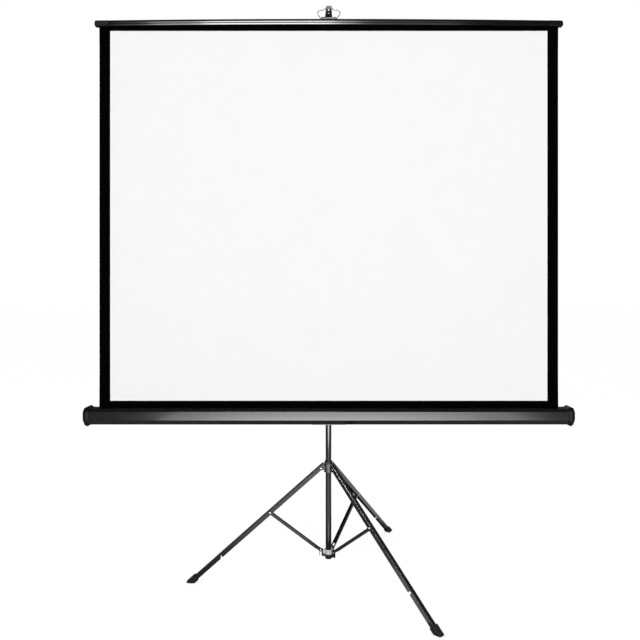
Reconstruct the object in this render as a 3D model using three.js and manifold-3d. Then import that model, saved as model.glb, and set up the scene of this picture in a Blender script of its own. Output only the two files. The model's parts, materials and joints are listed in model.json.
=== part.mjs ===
// A tripod projector screen: a fold-out tripod on a column, a roller case that a carriage
// holds on the column, and a telescoping mast that holds the screen up by its top rail.
//
// Lengths are in millimetres and angles in degrees. +Z is up and the floor is z = 0. +X runs
// along the case, and the screen faces -Y. The column is modelled on x = y = 0, and the whole
// part is then moved so that the origin lies midway between the front foot and the rear foot.
import * as THREE from "three";
import { mergeVertices } from "three/addons/utils/BufferGeometryUtils.js";
import Module from "manifold-3d";

const wasm = await Module();
wasm.setup();
const { Manifold } = wasm;

// Drawing resolution
const ROUND_STEPS = 40;
const SMALL_STEPS = 18;
const FILLET_STEPS = 3;
const BOW_STEPS = 16;
const WIRE_STEPS = 72;
const WIRE_SIDES = 5;
const MERGE_WITHIN = 1e-4;
const OVERCUT = 1;

// Fits
const RUN_GAP = 0.3; // radial room between round pieces that slide or turn
const SLIP_GAP = 0.15; // room between flat pieces that fit one in another
const SIDE_GAP = 0.5; // side room between the folding members
const FACE_GAP = 0.1; // room under a rivet's head

// Where things stand
const COLUMN_Y = -23.5; // the column's axis in the part's frame
const LEFT_BEARING = 184.5; // the legs' directions, counter-clockwise from +X
const FRONT_BEARING = 311.7;
const REAR_BEARING = 57.3;

// Column
const COLUMN_R = 10.5;
const COLUMN_WALL = 1.2;
const COLUMN_BOTTOM = 72;
const COLUMN_TOP = 1250;

// Tripod linkage, at the open position
const LEG_ANGLE = 49.46; // from the vertical
const LINK_R = 28; // both rows of pivots stand this far from the column's axis
const LEG_PIVOT_Z = 395.5;
const HUB_PIVOT_Z = 98.8;
const STRUT_AT = 239.5; // the strut's rivet, along the leg from the leg's pivot

// Legs
const LEG_WIDTH = 16;
const LEG_WALL = 1.3;
const LEG_OPEN_SIDE = 6.4; // from the pivot line to the channel's open edges
const LEG_WEB_TOP = 9.2; // from the pivot line to the web, at the pivot
const LEG_WEB_FOOT = 8.4; // and at the foot
const LEG_FOLD_R = 2.2;
const LEG_WEB_START = 12.6; // the web starts this far above the pivot
const LEG_NOSE_H = 7; // the flanges' nose, from the pivot line
const LEG_NOSE_R = 3;
const LEG_HEEL_R = 3.5;
const NOTCH_GAP = 0.5; // room around the hub rivet's head in the folded leg's notch

// Feet
const FOOT_WALL = 2.9;
const FOOT_DEPTH_WALL = 3.2;
const FOOT_LENGTH = 41; // along the outer side
const FOOT_EDGE_R = 2.4;
const FOOT_TOE_RISE = 4; // how far the toe's tip is cut back, along the leg
const FOOT_TOE_RUN = 12.6; // the toe's share of the boot's depth, clear of the floor
const FOOT_SOLE = 9; // rubber under the leg's end, along the pivot line
const FOOT_HEEL_R = 5;

// Struts
const STRUT_WALL = 1;
const STRUT_OPEN_SIDE = 4.2;
const STRUT_WEB_SIDE = 6;
const STRUT_FOLD_R = 1.8;
const STRUT_END_R = 4.2;
const STRUT_WEB_TOP_CUT = 9;
const STRUT_WEB_HUB_CUT = 16;

// Rivets
const RIVET_R = 2.2;
const RIVET_HEAD_R = 3.6;
const RIVET_HEAD = 1.5;
const RIVET_DOME_R = 2;

// Leg collar, its lowest and highest points measured from the leg pivots
const COLLAR_R = 16;
const COLLAR_LOW = 15.6;
const COLLAR_HIGH = 16.5;
const COLLAR_EAR_R = 7;
const COLLAR_EAR_ROOT = 10;
const COLLAR_EDGE = 1.2;
const BUSH_WALL = 1.9;
const BUSH_FLANGE = 8;
const BUSH_FLANGE_R = 14.4;

// Lower hub
const HUB_R = 14.8;
const HUB_LOW = 76.8;
const HUB_HIGH = 101.5;
const HUB_EAR_WIDTH = 7.4;
const HUB_EAR_R = 4.6;
const HUB_EAR_LOW = 79.5;
const HUB_EAR_ROOT_DROP = 3;
const HUB_SLOT_GAP = 0.9; // room on each side of the strut's rivet, which drops out while folding
const PLUG_R = 12;
const PLUG_FLANGE = 3.2;
const PLUG_SPIGOT = 14;

// Column cap and the mast's lock button
const CAP_R = 14;
const CAP_LOW = 1236;
const CAP_HIGH = 1263;
const CAP_EDGE = 1.5;
const BUTTON_R = 4;
const BUTTON_Z = 1256.5;
const BUTTON_TRAVEL = 2;
const BUTTON_OUT = 19.5;
const BUTTON_DOME = 1;
const BOSS_R = 7;
const BOSS_OUT = 16.5;

// Mast
const MAST_R = 8.5;
const MAST_WALL = 1;
const MAST_BOTTOM = 850;
const MAST_TOP = 2008; // the hook, the rail and the fabric's top all follow from it
const GLIDE_LENGTH = 12;
const GLIDE_SPIGOT = 18;

// Hook arm on the mast
const HOOK_RISE = 8.4; // the arm's top over the mast's
const HOOK_SHEET = 2.2;
const HOOK_REAR = 13; // behind the mast's axis
const HOOK_REACH = 90;
const HOOK_REAR_WIDTH = 29;
const HOOK_TIP_WIDTH = 18.6;
const HOOK_FLANGE = 5.5;
const HOOK_LIP = 5;
const HOOK_CORNER_R = 4;
const HOOK_SPIGOT = 22;
const HOOK_NECK_R = 10.2;
const HOOK_HOLE_R = 4.2;
const HOOK_HOLE_Y = -46;
const HOOK_SLOT_R = 3.4;
const HOOK_SLOT_Y = -67;
const HOOK_SLOT_TIP_R = 1.4;
const HOOK_SLOT_TIP_Y = -82;

// Screen fabric
const FABRIC_Y = -76; // the face between the backing and the viewing surface
const FABRIC_WIDTH = 1601; // the rail and the case follow from it
const FABRIC_THICK = 0.6;
const FABRIC_LOW = 619;
const WHITE_BORDER = 38.5; // black border on each side
const WHITE_THICK = 0.4;
const WHITE_LOW = 650.7;
const WHITE_DROP = 20.2; // from the rail down to it

// Top rail
const RAIL_OVER = 14.8; // its reach past the fabric at each end
const RAIL_HANG = 56.4; // from the hook arm's top down to the rail's underside
const RAIL_HEIGHT = 20;
const RAIL_DEPTH = 16;
const RAIL_WALL = 1.6;
const RAIL_BOW = 5.8; // how far its middle stands above its ends
const RAIL_FRONT_R = 4.9;
const RAIL_BACK_R = 3;
const RAIL_GROOVE = 1.3;
const RAIL_GROOVE_HALF = 0.7;
const RAIL_SLOT = 2.6;
const RAIL_HEM = 6; // how far the fabric stands in the rail's slot
const RAIL_CAP_LENGTH = 47;
const RAIL_CAP_OVER = 0.5;
const RAIL_CAP_ROUND = 4;
const RAIL_CAP_SHRINK = 3;

// Bail: the wire loop on the rail that hangs on the hook arm
const WIRE_R = 1.5;
const BAIL_REST_GAP = 0.4; // from the wire to the arm's top
const BAIL_HALF = 31;
const BAIL_WIDEST = 39.6;
const BAIL_WIDEST_RISE = 20;
const BAIL_SHOULDER = 32.4;
const BAIL_SHOULDER_RISE = 27;
const BAIL_NECK = 17;
const BAIL_NECK_RISE = 29.4;
const BAIL_PEAK = 11;
const BAIL_TAIL = 15; // length of each end inside the clamp
const BAIL_BEND_R = 3.5;
const CLAMP_HALF = 26.5;
const CLAMP_DEPTH = 11;
const CLAMP_HEIGHT = 7.4;
const CLAMP_PIN_RISE = 3.9;
const CLAMP_EDGE_R = 2.4;

// Case housing, its section from the front: y and z of each corner
const HOUSING_OVER = 29.5; // its reach past the fabric at each end
const HOUSING_WALL = 1.2;
const HOUSING_FRONT = -94;
const HOUSING_BACK = -38;
const HOUSING_LOW = 568.4;
const HOUSING_FACE_LOW = 585.2;
const HOUSING_FACE_HIGH = 615.6;
const HOUSING_HIGH = 624.6;
const HOUSING_LOW_IN = 13; // how far the lower slopes step in
const HOUSING_HIGH_IN = 9; // and the upper ones
const HOUSING_SLOT = 6;

// End caps: stations outward from the housing's end, and how far each stands over its outline
const CAP_STATIONS = [0, 9.4, 19.4, 25.4];
const CAP_OVERS = [0.8, 6, 2, -10];
const CAP_WALL = 2.4;
const CAP_PLUG = 13;
const SCREW_R = 2;
const SCREW_HEAD_R = 4.2;
const SCREW_HEAD = 2.4;
const SCREW_LENGTH = 14;
const CAP_POST_R = 3.8;

// Roller
const ROLLER_Y = -60;
const ROLLER_Z = 597;
const ROLLER_R = 11;
const ROLLER_WALL = 1;
const ROLL_R = 15.7;
const ROLLER_END_GAP = 9; // from the housing's end to the roller's
const ROLLER_PLUG = 24;
const ROLLER_FLANGE = 2;
const ROLLER_FLANGE_R = 12.4;
const ROLLER_PIN_R = 3;
const ROLLER_PIN = 4.6;
const BRACKET_SHEET = 2;
const BRACKET_HALF = 12;
const BRACKET_HIGH = 17;
const BRACKET_CORNER_R = 3;
const BRACKET_POST_R = 2.8;
const BRACKET_POST_AT = 7.3;

// Saddle and carriage
const SADDLE_WIDTH = 118;
const SADDLE_SHEET = 2;
const SADDLE_LIP = 27; // its reach under the housing, from the rear slope's foot
const SADDLE_HIGH = 655;
const SADDLE_CORNER_R = 10;
const WASHER_THICK = 2;
const WASHER_R = 13;
const CARRIAGE_LOW = 599;
const CARRIAGE_HIGH = 663;
const CARRIAGE_HALF = 20;
const CARRIAGE_REAR = 18;
const CARRIAGE_EDGE_R = 7;
const BOLT_Z = 641;
const BOLT_R = 4;
const BOLT_HEAD_R = 8;
const BOLT_HEAD = 4.5;
const BOLT_DEPTH = 16; // how deep it screws into the carriage
const SADDLE_SCREW_X = 44;
const SADDLE_SCREW_Z = 605;

// Clamp knob on the carriage
const KNOB_Z = 615;
const KNOB_R = 14;
const KNOB_LOBES = 6;
const KNOB_DENT_R = 4.6;
const KNOB_DENT_AT = 16.6;
const KNOB_THICK = 15;
const KNOB_NECK = 3;
const KNOB_NECK_R = 8;
const STUD_R = 4;

// Colours
const BLACK = 0x101112;
const GREY = 0x3a3c3d;
const STEEL = 0xc8cacc;
const RUBBER = 0x1c1c1d;
const WHITE = 0xf4f4f2;

const rad = THREE.MathUtils.degToRad;

// Values that follow from the ones above
const LEG_SIN = Math.sin(rad(LEG_ANGLE));
const LEG_COS = Math.cos(rad(LEG_ANGLE));
const LEG_HALF = LEG_WIDTH / 2;
const LEG_INNER = LEG_HALF - LEG_WALL;
const LEG_REACH = LEG_PIVOT_Z / LEG_COS; // the pivot line's length down to the floor
const LEG_BACK = LINK_R - COLLAR_R - SIDE_GAP; // from a leg's pivot to its end, beside the collar
const STRUT_R = LINK_R + STRUT_AT * LEG_SIN;
const STRUT_Z = LEG_PIVOT_Z - STRUT_AT * LEG_COS;
const STRUT_LENGTH = Math.hypot(STRUT_R - LINK_R, STRUT_Z - HUB_PIVOT_Z);
const STRUT_ANGLE = THREE.MathUtils.radToDeg(Math.atan2(STRUT_R - LINK_R, STRUT_Z - HUB_PIVOT_Z));
const STRUT_HALF = LEG_INNER - SIDE_GAP;
const STRUT_INNER = STRUT_HALF - STRUT_WALL;
const NOTCH_AT = STRUT_AT + STRUT_LENGTH;
const EAR_HALF = LEG_INNER - SIDE_GAP;
const BUSH_R = COLUMN_R + RUN_GAP + BUSH_WALL;
const COLUMN_BORE = COLUMN_R - COLUMN_WALL;
const MAST_BORE = MAST_R - MAST_WALL;
const HOOK_TOP = MAST_TOP + HOOK_RISE;
const BAIL_Z = HOOK_TOP + BAIL_REST_GAP + WIRE_R; // the wire's centre where it crosses the arm
const RAIL_LOW = HOOK_TOP - RAIL_HANG;
const RAIL_LENGTH = FABRIC_WIDTH + 2 * RAIL_OVER;
const RAIL_HIGH = RAIL_LOW + RAIL_HEIGHT;
const PIN_Z = RAIL_HIGH + CLAMP_PIN_RISE; // the bail's hinge
const WHITE_WIDTH = FABRIC_WIDTH - 2 * WHITE_BORDER;
const WHITE_HIGH = RAIL_LOW - WHITE_DROP;
const HOUSING_HALF = FABRIC_WIDTH / 2 + HOUSING_OVER;
const SADDLE_Y = HOUSING_BACK + SADDLE_SHEET;
const CARRIAGE_FRONT = SADDLE_Y + WASHER_THICK;

// Solids

// A closed manifold solid from any three.js geometry, whichever way its faces were wound.
function solid(geometry) {
  const bare = new THREE.BufferGeometry();
  bare.setAttribute("position", geometry.getAttribute("position"));
  bare.setIndex(geometry.getIndex());
  const merged = mergeVertices(bare, MERGE_WITHIN);
  const corners = merged.getIndex().array;
  const kept = [];
  for (let i = 0; i < corners.length; i += 3) {
    const [a, b, c] = [corners[i], corners[i + 1], corners[i + 2]];
    if (a !== b && b !== c && c !== a) kept.push(a, b, c);
  }
  const build = (faces) =>
    new Manifold(
      new wasm.Mesh({
        numProp: 3,
        vertProperties: merged.getAttribute("position").array,
        triVerts: new Uint32Array(faces),
      }),
    );
  const made = build(kept);
  return made.volume() < 0 ? build(kept.reverse()) : made;
}

// An outline whose corners are [x, y] or [x, y, radius]; a corner with a radius is rounded.
function outline(corners) {
  const points = [];
  corners.forEach(([x, y, radius], i) => {
    const at = new THREE.Vector2(x, y);
    if (!radius) {
      points.push(at);
      return;
    }
    const [bx, by] = corners[(i + corners.length - 1) % corners.length];
    const [nx, ny] = corners[(i + 1) % corners.length];
    const back = new THREE.Vector2(bx, by).sub(at).normalize();
    const next = new THREE.Vector2(nx, ny).sub(at).normalize();
    const half = Math.acos(THREE.MathUtils.clamp(back.dot(next), -1, 1)) / 2;
    const middle = back.clone().add(next).normalize();
    const centre = at.clone().addScaledVector(middle, radius / Math.sin(half));
    const from = at.clone().addScaledVector(back, radius / Math.tan(half)).sub(centre);
    const to = at.clone().addScaledVector(next, radius / Math.tan(half)).sub(centre);
    const turn = Math.atan2(from.cross(to), from.dot(to));
    for (let k = 0; k <= FILLET_STEPS; k++) {
      const step = from.clone().rotateAround(new THREE.Vector2(), (turn * k) / FILLET_STEPS);
      points.push(step.add(centre));
    }
  });
  return points;
}

// A convex outline moved outward by a distance, or inward by a negative one.
function offsetOutline(corners, distance) {
  const area = corners.reduce((sum, [x, y], i) => {
    const [nx, ny] = corners[(i + 1) % corners.length];
    return sum + x * ny - nx * y;
  }, 0);
  const out = distance * Math.sign(area);
  const lines = corners.map(([x, y], i) => {
    const [nx, ny] = corners[(i + 1) % corners.length];
    const length = Math.hypot(nx - x, ny - y);
    const normal = [(ny - y) / length, (x - nx) / length];
    return [...normal, normal[0] * x + normal[1] * y + out];
  });
  return lines.map(([a, b, c], i) => {
    const [d, e, f] = lines[(i + lines.length - 1) % lines.length];
    const det = a * e - b * d;
    return [(c * e - b * f) / det, (a * f - c * d) / det];
  });
}

// An outline drawn in one plane and drawn out along the third axis, in one or more steps.
const PLANES = {
  xy: [[1, 0, 0], [0, 1, 0], [0, 0, 1]],
  xz: [[1, 0, 0], [0, 0, 1], [0, 1, 0]],
  yz: [[0, 1, 0], [0, 0, 1], [1, 0, 0]],
};
function prism(plane, corners, low, high, steps = 1) {
  const drawn = new THREE.ExtrudeGeometry(new THREE.Shape(outline(corners)), {
    depth: high - low,
    steps,
    bevelEnabled: false,
  });
  drawn.translate(0, 0, low);
  const [across, up, along] = PLANES[plane].map((axis) => new THREE.Vector3(...axis));
  drawn.applyMatrix4(new THREE.Matrix4().makeBasis(across, up, along));
  return solid(drawn);
}

function box(x0, x1, y0, y1, z0, z1) {
  const block = new THREE.BoxGeometry(x1 - x0, y1 - y0, z1 - z0);
  block.translate((x0 + x1) / 2, (y0 + y1) / 2, (z0 + z1) / 2);
  return solid(block);
}

// A closed profile of [radius, z] corners turned about the Z axis.
function turned(corners, steps = ROUND_STEPS) {
  const profile = outline(corners);
  profile.push(profile[0].clone());
  return solid(new THREE.LatheGeometry(profile, steps).rotateX(Math.PI / 2));
}

function rod(radius, low, high, steps = SMALL_STEPS) {
  return turned([[0, low], [radius, low], [radius, high], [0, high]], steps);
}

function sleeve(inner, outer, low, high, edge = 0) {
  return turned([[inner, low], [outer, low, edge], [outer, high, edge], [inner, high]]);
}

// A solid modelled along Z is laid along X or along Y.
const alongX = (body) => body.rotate([0, 90, 0]);
const alongY = (body) => body.rotate([-90, 0, 0]);
const mirrored = (body) => body.mirror([1, 0, 0]);

// A rivet along Y whose two heads sit outside a joint of this half width.
function rivet(half) {
  const face = half + FACE_GAP;
  const top = face + RIVET_HEAD;
  const side = [[RIVET_R, face], [RIVET_HEAD_R, face], [RIVET_HEAD_R, top, RIVET_DOME_R / 2]];
  const lower = [...side].reverse().map(([r, z, edge]) => [r, -z, edge]);
  return alongY(turned([[0, -top], ...lower, ...side, [0, top]], SMALL_STEPS));
}

// The hole across a folding member for a rivet.
const rivetHole = (half) => alongY(rod(RIVET_R + RUN_GAP, -half - OVERCUT, half + OVERCUT));

// A bar along -Z whose web side, at +X, is rounded and may taper from one end to the other.
function taperedBar(low, high, open, webLow, webHigh, half, fold) {
  const points = [[low, webLow], [high, webHigh]].flatMap(([z, web]) =>
    outline([[-open, -half], [web, -half, fold], [web, half, fold], [-open, half]]).map(
      ({ x, y }) => [x, y, z],
    ),
  );
  return Manifold.hull(points);
}

// Distance from the pivot line to the leg's web, at a distance along the leg.
const webAt = (along) => LEG_WEB_TOP + ((LEG_WEB_FOOT - LEG_WEB_TOP) * along) / LEG_REACH;

// The leg is drawn hanging straight down from its pivot at the origin, its open side towards
// the column at -X, and is then swung out.
const FLOOR_SLOPE = LEG_SIN / LEG_COS;
const floorAt = (h) => -(LEG_REACH + h * FLOOR_SLOPE); // the floor's z at an offset h from the line
const FOOT_TOP = floorAt(webAt(LEG_REACH) + FOOT_DEPTH_WALL) + FOOT_LENGTH;
const LEG_END = -(LEG_REACH - FOOT_SOLE - (LEG_OPEN_SIDE + SLIP_GAP) * FLOOR_SLOPE);

// The leg's end is cut upright, as it stands open: its height above the pivot at an offset h.
const endAt = (h) => (h * LEG_COS + LEG_BACK) / LEG_SIN;

function legChannel() {
  const high = endAt(LEG_NOSE_H);
  const bar = (grow, inner) =>
    taperedBar(
      LEG_END - inner * OVERCUT,
      high + inner * OVERCUT,
      LEG_OPEN_SIDE + inner * OVERCUT,
      webAt(-LEG_END) + grow,
      webAt(-high) + grow,
      LEG_HALF + grow,
      LEG_FOLD_R + grow,
    );
  const side = [
    [-LEG_OPEN_SIDE, LEG_END - OVERCUT],
    [LEG_WEB_TOP * 2, LEG_END - OVERCUT],
    [LEG_WEB_TOP * 2, LEG_WEB_START],
    [webAt(0), LEG_WEB_START, LEG_NOSE_R],
    [LEG_NOSE_H, high, LEG_NOSE_R],
    [-LEG_OPEN_SIDE, endAt(-LEG_OPEN_SIDE), LEG_HEEL_R],
  ];
  const notchR = RIVET_HEAD_R + NOTCH_GAP;
  const notch = alongY(rod(notchR, -LEG_WIDTH, LEG_WIDTH)).translate([0, 0, -NOTCH_AT]);
  const mouth = box(
    -LEG_OPEN_SIDE - OVERCUT,
    0,
    -LEG_WIDTH,
    LEG_WIDTH,
    -NOTCH_AT - notchR,
    -NOTCH_AT + notchR,
  );
  return bar(0, 0)
    .intersect(prism("xz", side, -LEG_WIDTH, LEG_WIDTH))
    .subtract(bar(-LEG_WALL, 1))
    .subtract(rivetHole(LEG_WIDTH))
    .subtract(rivetHole(LEG_WIDTH).translate([0, 0, -STRUT_AT]))
    .subtract(notch)
    .subtract(mouth);
}

function footBoot() {
  const web = webAt(LEG_REACH) + FOOT_DEPTH_WALL;
  const open = LEG_OPEN_SIDE + FOOT_DEPTH_WALL;
  const half = LEG_HALF + FOOT_WALL;
  const lowest = floorAt(web);
  const block = Manifold.hull(
    [lowest, FOOT_TOP].flatMap((z) =>
      outline([
        [-open, -half, FOOT_EDGE_R],
        [web, -half, FOOT_EDGE_R],
        [web, half, FOOT_EDGE_R],
        [-open, half, FOOT_EDGE_R],
      ]).map(({ x, y }) => [x, y, z]),
    ),
  );
  const toe = web - FOOT_TOE_RUN;
  const side = [
    [-open, FOOT_TOP],
    [-open, floorAt(-open), FOOT_HEEL_R],
    [toe, floorAt(toe)],
    [web, floorAt(web) + FOOT_TOE_RISE],
    [web, FOOT_TOP],
  ];
  const pocket = taperedBar(
    LEG_END - SLIP_GAP,
    FOOT_TOP + OVERCUT,
    LEG_OPEN_SIDE + SLIP_GAP,
    webAt(-LEG_END) + SLIP_GAP,
    webAt(-FOOT_TOP) + SLIP_GAP,
    LEG_HALF + SLIP_GAP,
    LEG_FOLD_R,
  );
  return block.intersect(prism("xz", side, -LEG_WIDTH, LEG_WIDTH)).subtract(pocket);
}

// The strut hangs from its leg rivet at the origin, its web on the outer side at +X.
function strutChannel() {
  const low = -STRUT_LENGTH - STRUT_END_R;
  const high = STRUT_END_R;
  const outer = taperedBar(
    low,
    high,
    STRUT_OPEN_SIDE,
    STRUT_WEB_SIDE,
    STRUT_WEB_SIDE,
    STRUT_HALF,
    STRUT_FOLD_R,
  );
  const side = [
    [-STRUT_OPEN_SIDE, low, STRUT_END_R],
    [STRUT_END_R, low, STRUT_END_R],
    [STRUT_END_R, -STRUT_LENGTH + STRUT_WEB_HUB_CUT],
    [STRUT_WEB_SIDE + OVERCUT, -STRUT_LENGTH + STRUT_WEB_HUB_CUT + STRUT_END_R],
    [STRUT_WEB_SIDE + OVERCUT, -STRUT_WEB_TOP_CUT],
    [STRUT_END_R, -STRUT_END_R],
    [STRUT_END_R, high, STRUT_END_R],
    [-STRUT_OPEN_SIDE, high, STRUT_END_R],
  ];
  const hollow = box(
    -STRUT_OPEN_SIDE - OVERCUT,
    STRUT_WEB_SIDE - STRUT_WALL,
    -STRUT_INNER,
    STRUT_INNER,
    low - OVERCUT,
    high + OVERCUT,
  );
  return outer
    .intersect(prism("xz", side, -LEG_WIDTH, LEG_WIDTH))
    .subtract(hollow)
    .subtract(rivetHole(LEG_WIDTH))
    .subtract(rivetHole(LEG_WIDTH).translate([0, 0, -STRUT_LENGTH]));
}

// A piece of a leg, drawn about its pivot, swung out and set at the leg's bearing.
const onLeg = (body, bearing) =>
  body
    .rotate([0, -LEG_ANGLE, 0])
    .translate([LINK_R, 0, LEG_PIVOT_Z])
    .rotate([0, 0, bearing]);
const onStrut = (body, bearing) =>
  body
    .rotate([0, STRUT_ANGLE, 0])
    .translate([STRUT_R, 0, STRUT_Z])
    .rotate([0, 0, bearing]);

function legCollar(bearings) {
  const low = LEG_PIVOT_Z - COLLAR_LOW;
  const high = LEG_PIVOT_Z + COLLAR_HIGH;
  const root = LEG_PIVOT_Z;
  let body = turned([
    [0, low],
    [COLLAR_R, low, COLLAR_EDGE],
    [COLLAR_R, high, COLLAR_EDGE],
    [0, high],
  ]);
  for (const bearing of bearings) {
    const eye = alongY(rod(COLLAR_EAR_R, -EAR_HALF, EAR_HALF)).translate([LINK_R, 0, root]);
    const foot = box(
      0,
      COLLAR_R - COLLAR_EDGE,
      -EAR_HALF,
      EAR_HALF,
      root - COLLAR_EAR_ROOT,
      root + COLLAR_EAR_ROOT,
    );
    const ear = Manifold.hull([eye, foot]);
    const hole = rivetHole(LEG_WIDTH).translate([LINK_R, 0, root]);
    body = body.add(ear.rotate([0, 0, bearing])).subtract(hole.rotate([0, 0, bearing]));
  }
  return body.subtract(rod(BUSH_R + RUN_GAP, low - OVERCUT, high + OVERCUT, ROUND_STEPS));
}

// A plastic liner between a sliding piece and the column, with a flange on the piece's top.
function liner(low, high) {
  return turned([
    [COLUMN_R + RUN_GAP, low],
    [BUSH_R, low],
    [BUSH_R, high],
    [BUSH_FLANGE_R, high],
    [BUSH_FLANGE_R, high + BUSH_FLANGE, COLLAR_EDGE],
    [COLUMN_R + RUN_GAP, high + BUSH_FLANGE],
  ]);
}

function lowerHub(bearings) {
  const earHalf = HUB_EAR_WIDTH / 2;
  const slotHalf = RIVET_R + HUB_SLOT_GAP;
  const edge = LINK_R + HUB_EAR_R;
  const top = HUB_PIVOT_Z + HUB_EAR_R;
  let body = turned([
    [0, HUB_LOW],
    [HUB_R, HUB_LOW, COLLAR_EDGE],
    [HUB_R, HUB_HIGH, COLLAR_EDGE],
    [0, HUB_HIGH],
  ]);
  for (const bearing of bearings) {
    const side = [
      [0, HUB_LOW],
      [HUB_R - COLLAR_EDGE, HUB_LOW],
      [edge, HUB_EAR_LOW],
      [edge, top, HUB_EAR_R - OVERCUT],
      [LINK_R - HUB_EAR_R, top, HUB_EAR_R / 2],
      [HUB_R - COLLAR_EDGE, HUB_HIGH - HUB_EAR_ROOT_DROP],
      [0, HUB_HIGH - HUB_EAR_ROOT_DROP],
    ];
    const arch = alongY(rod(slotHalf, -LEG_WIDTH, LEG_WIDTH)).translate([LINK_R, 0, HUB_PIVOT_Z]);
    const slot = box(
      LINK_R - slotHalf,
      LINK_R + slotHalf,
      -LEG_WIDTH,
      LEG_WIDTH,
      HUB_LOW - OVERCUT,
      HUB_PIVOT_Z,
    );
    body = body
      .add(prism("xz", side, -earHalf, earHalf).rotate([0, 0, bearing]))
      .subtract(arch.add(slot).rotate([0, 0, bearing]));
  }
  return body.subtract(rod(COLUMN_R + RUN_GAP, HUB_LOW - OVERCUT, HUB_HIGH + OVERCUT, ROUND_STEPS));
}

function columnPlug() {
  const flange = rod(PLUG_R, COLUMN_BOTTOM - PLUG_FLANGE, COLUMN_BOTTOM, ROUND_STEPS);
  const spigot = rod(
    COLUMN_BORE - RUN_GAP,
    COLUMN_BOTTOM - PLUG_FLANGE,
    COLUMN_BOTTOM + PLUG_SPIGOT,
    ROUND_STEPS,
  );
  return flange.add(spigot);
}

function columnCap() {
  const shell = sleeve(MAST_R + RUN_GAP, CAP_R, CAP_LOW, CAP_HIGH, CAP_EDGE);
  const seat = rod(COLUMN_R + RUN_GAP, CAP_LOW - OVERCUT, COLUMN_TOP, ROUND_STEPS);
  const boss = alongY(rod(BOSS_R, 0, BOSS_OUT)).translate([0, 0, BUTTON_Z]);
  const hole = alongY(rod(BUTTON_R + RUN_GAP, 0, BUTTON_OUT)).translate([0, 0, BUTTON_Z]);
  const bore = rod(MAST_R + RUN_GAP, CAP_LOW - OVERCUT, CAP_HIGH + OVERCUT, ROUND_STEPS);
  const slice = box(-CAP_R, CAP_R, 0, BUTTON_OUT, CAP_LOW, CAP_HIGH);
  return shell.add(boss.intersect(slice)).subtract(bore).subtract(seat).subtract(hole);
}

function lockButton() {
  const inner = MAST_R + RUN_GAP + BUTTON_TRAVEL + SLIP_GAP;
  const profile = [
    [0, inner],
    [BUTTON_R, inner],
    [BUTTON_R, BUTTON_OUT, BUTTON_DOME],
    [0, BUTTON_OUT],
  ];
  return alongY(turned(profile, SMALL_STEPS)).translate([0, 0, BUTTON_Z]);
}

function mastHook() {
  const rear = HOOK_REAR_WIDTH / 2;
  const tip = HOOK_TIP_WIDTH / 2;
  const plan = (inset) => [
    [-rear + inset, HOOK_REAR - inset, HOOK_CORNER_R],
    [-tip + inset, -HOOK_REACH + inset],
    [tip - inset, -HOOK_REACH + inset],
    [rear - inset, HOOK_REAR - inset, HOOK_CORNER_R],
  ];
  const low = HOOK_TOP - HOOK_FLANGE;
  const under = HOOK_TOP - HOOK_SHEET;
  const block = prism("xy", plan(0), low, HOOK_TOP + HOOK_LIP);
  const hollow = prism("xy", plan(HOOK_SHEET), low - OVERCUT, under);
  const above = box(
    -HOOK_REAR_WIDTH,
    HOOK_REAR_WIDTH,
    -HOOK_REACH + HOOK_SHEET,
    HOOK_REAR + OVERCUT,
    HOOK_TOP,
    HOOK_TOP + HOOK_LIP + OVERCUT,
  );
  const hole = rod(HOOK_HOLE_R, low, HOOK_TOP + OVERCUT).translate([0, HOOK_HOLE_Y, 0]);
  const slot = Manifold.hull([
    rod(HOOK_SLOT_R, low, HOOK_TOP + OVERCUT).translate([0, HOOK_SLOT_Y, 0]),
    rod(HOOK_SLOT_TIP_R, low, HOOK_TOP + OVERCUT).translate([0, HOOK_SLOT_TIP_Y, 0]),
  ]);
  const neck = rod(HOOK_NECK_R, MAST_TOP, HOOK_TOP, ROUND_STEPS);
  const spigot = rod(MAST_BORE - RUN_GAP, MAST_TOP - HOOK_SPIGOT, HOOK_TOP, ROUND_STEPS);
  return block
    .subtract(hollow)
    .subtract(above)
    .subtract(hole)
    .subtract(slot)
    .add(neck)
    .add(spigot);
}

function mastGlide() {
  const shoe = rod(COLUMN_BORE - RUN_GAP, MAST_BOTTOM - GLIDE_LENGTH, MAST_BOTTOM, ROUND_STEPS);
  const spigot = rod(
    MAST_BORE - RUN_GAP,
    MAST_BOTTOM - GLIDE_LENGTH,
    MAST_BOTTOM + GLIDE_SPIGOT,
    ROUND_STEPS,
  );
  return shoe.add(spigot);
}

// The rail sags towards its ends: how far it stands below its middle, at a distance along it.
const railDrop = (x) => RAIL_BOW * (x / (RAIL_LENGTH / 2)) ** 2;
const bowed = (body) => body.warp((vertex) => {
  vertex[2] -= railDrop(vertex[0]);
});

// The rail's outline: a flat back and two rounded ribs on the front with a groove between.
function railSection(over) {
  const front = FABRIC_Y - RAIL_DEPTH / 2 - over;
  const back = FABRIC_Y + RAIL_DEPTH / 2 + over;
  const low = RAIL_LOW - over;
  const high = RAIL_HIGH + over;
  return { front, back, low, high, middle: (low + high) / 2 };
}

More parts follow.
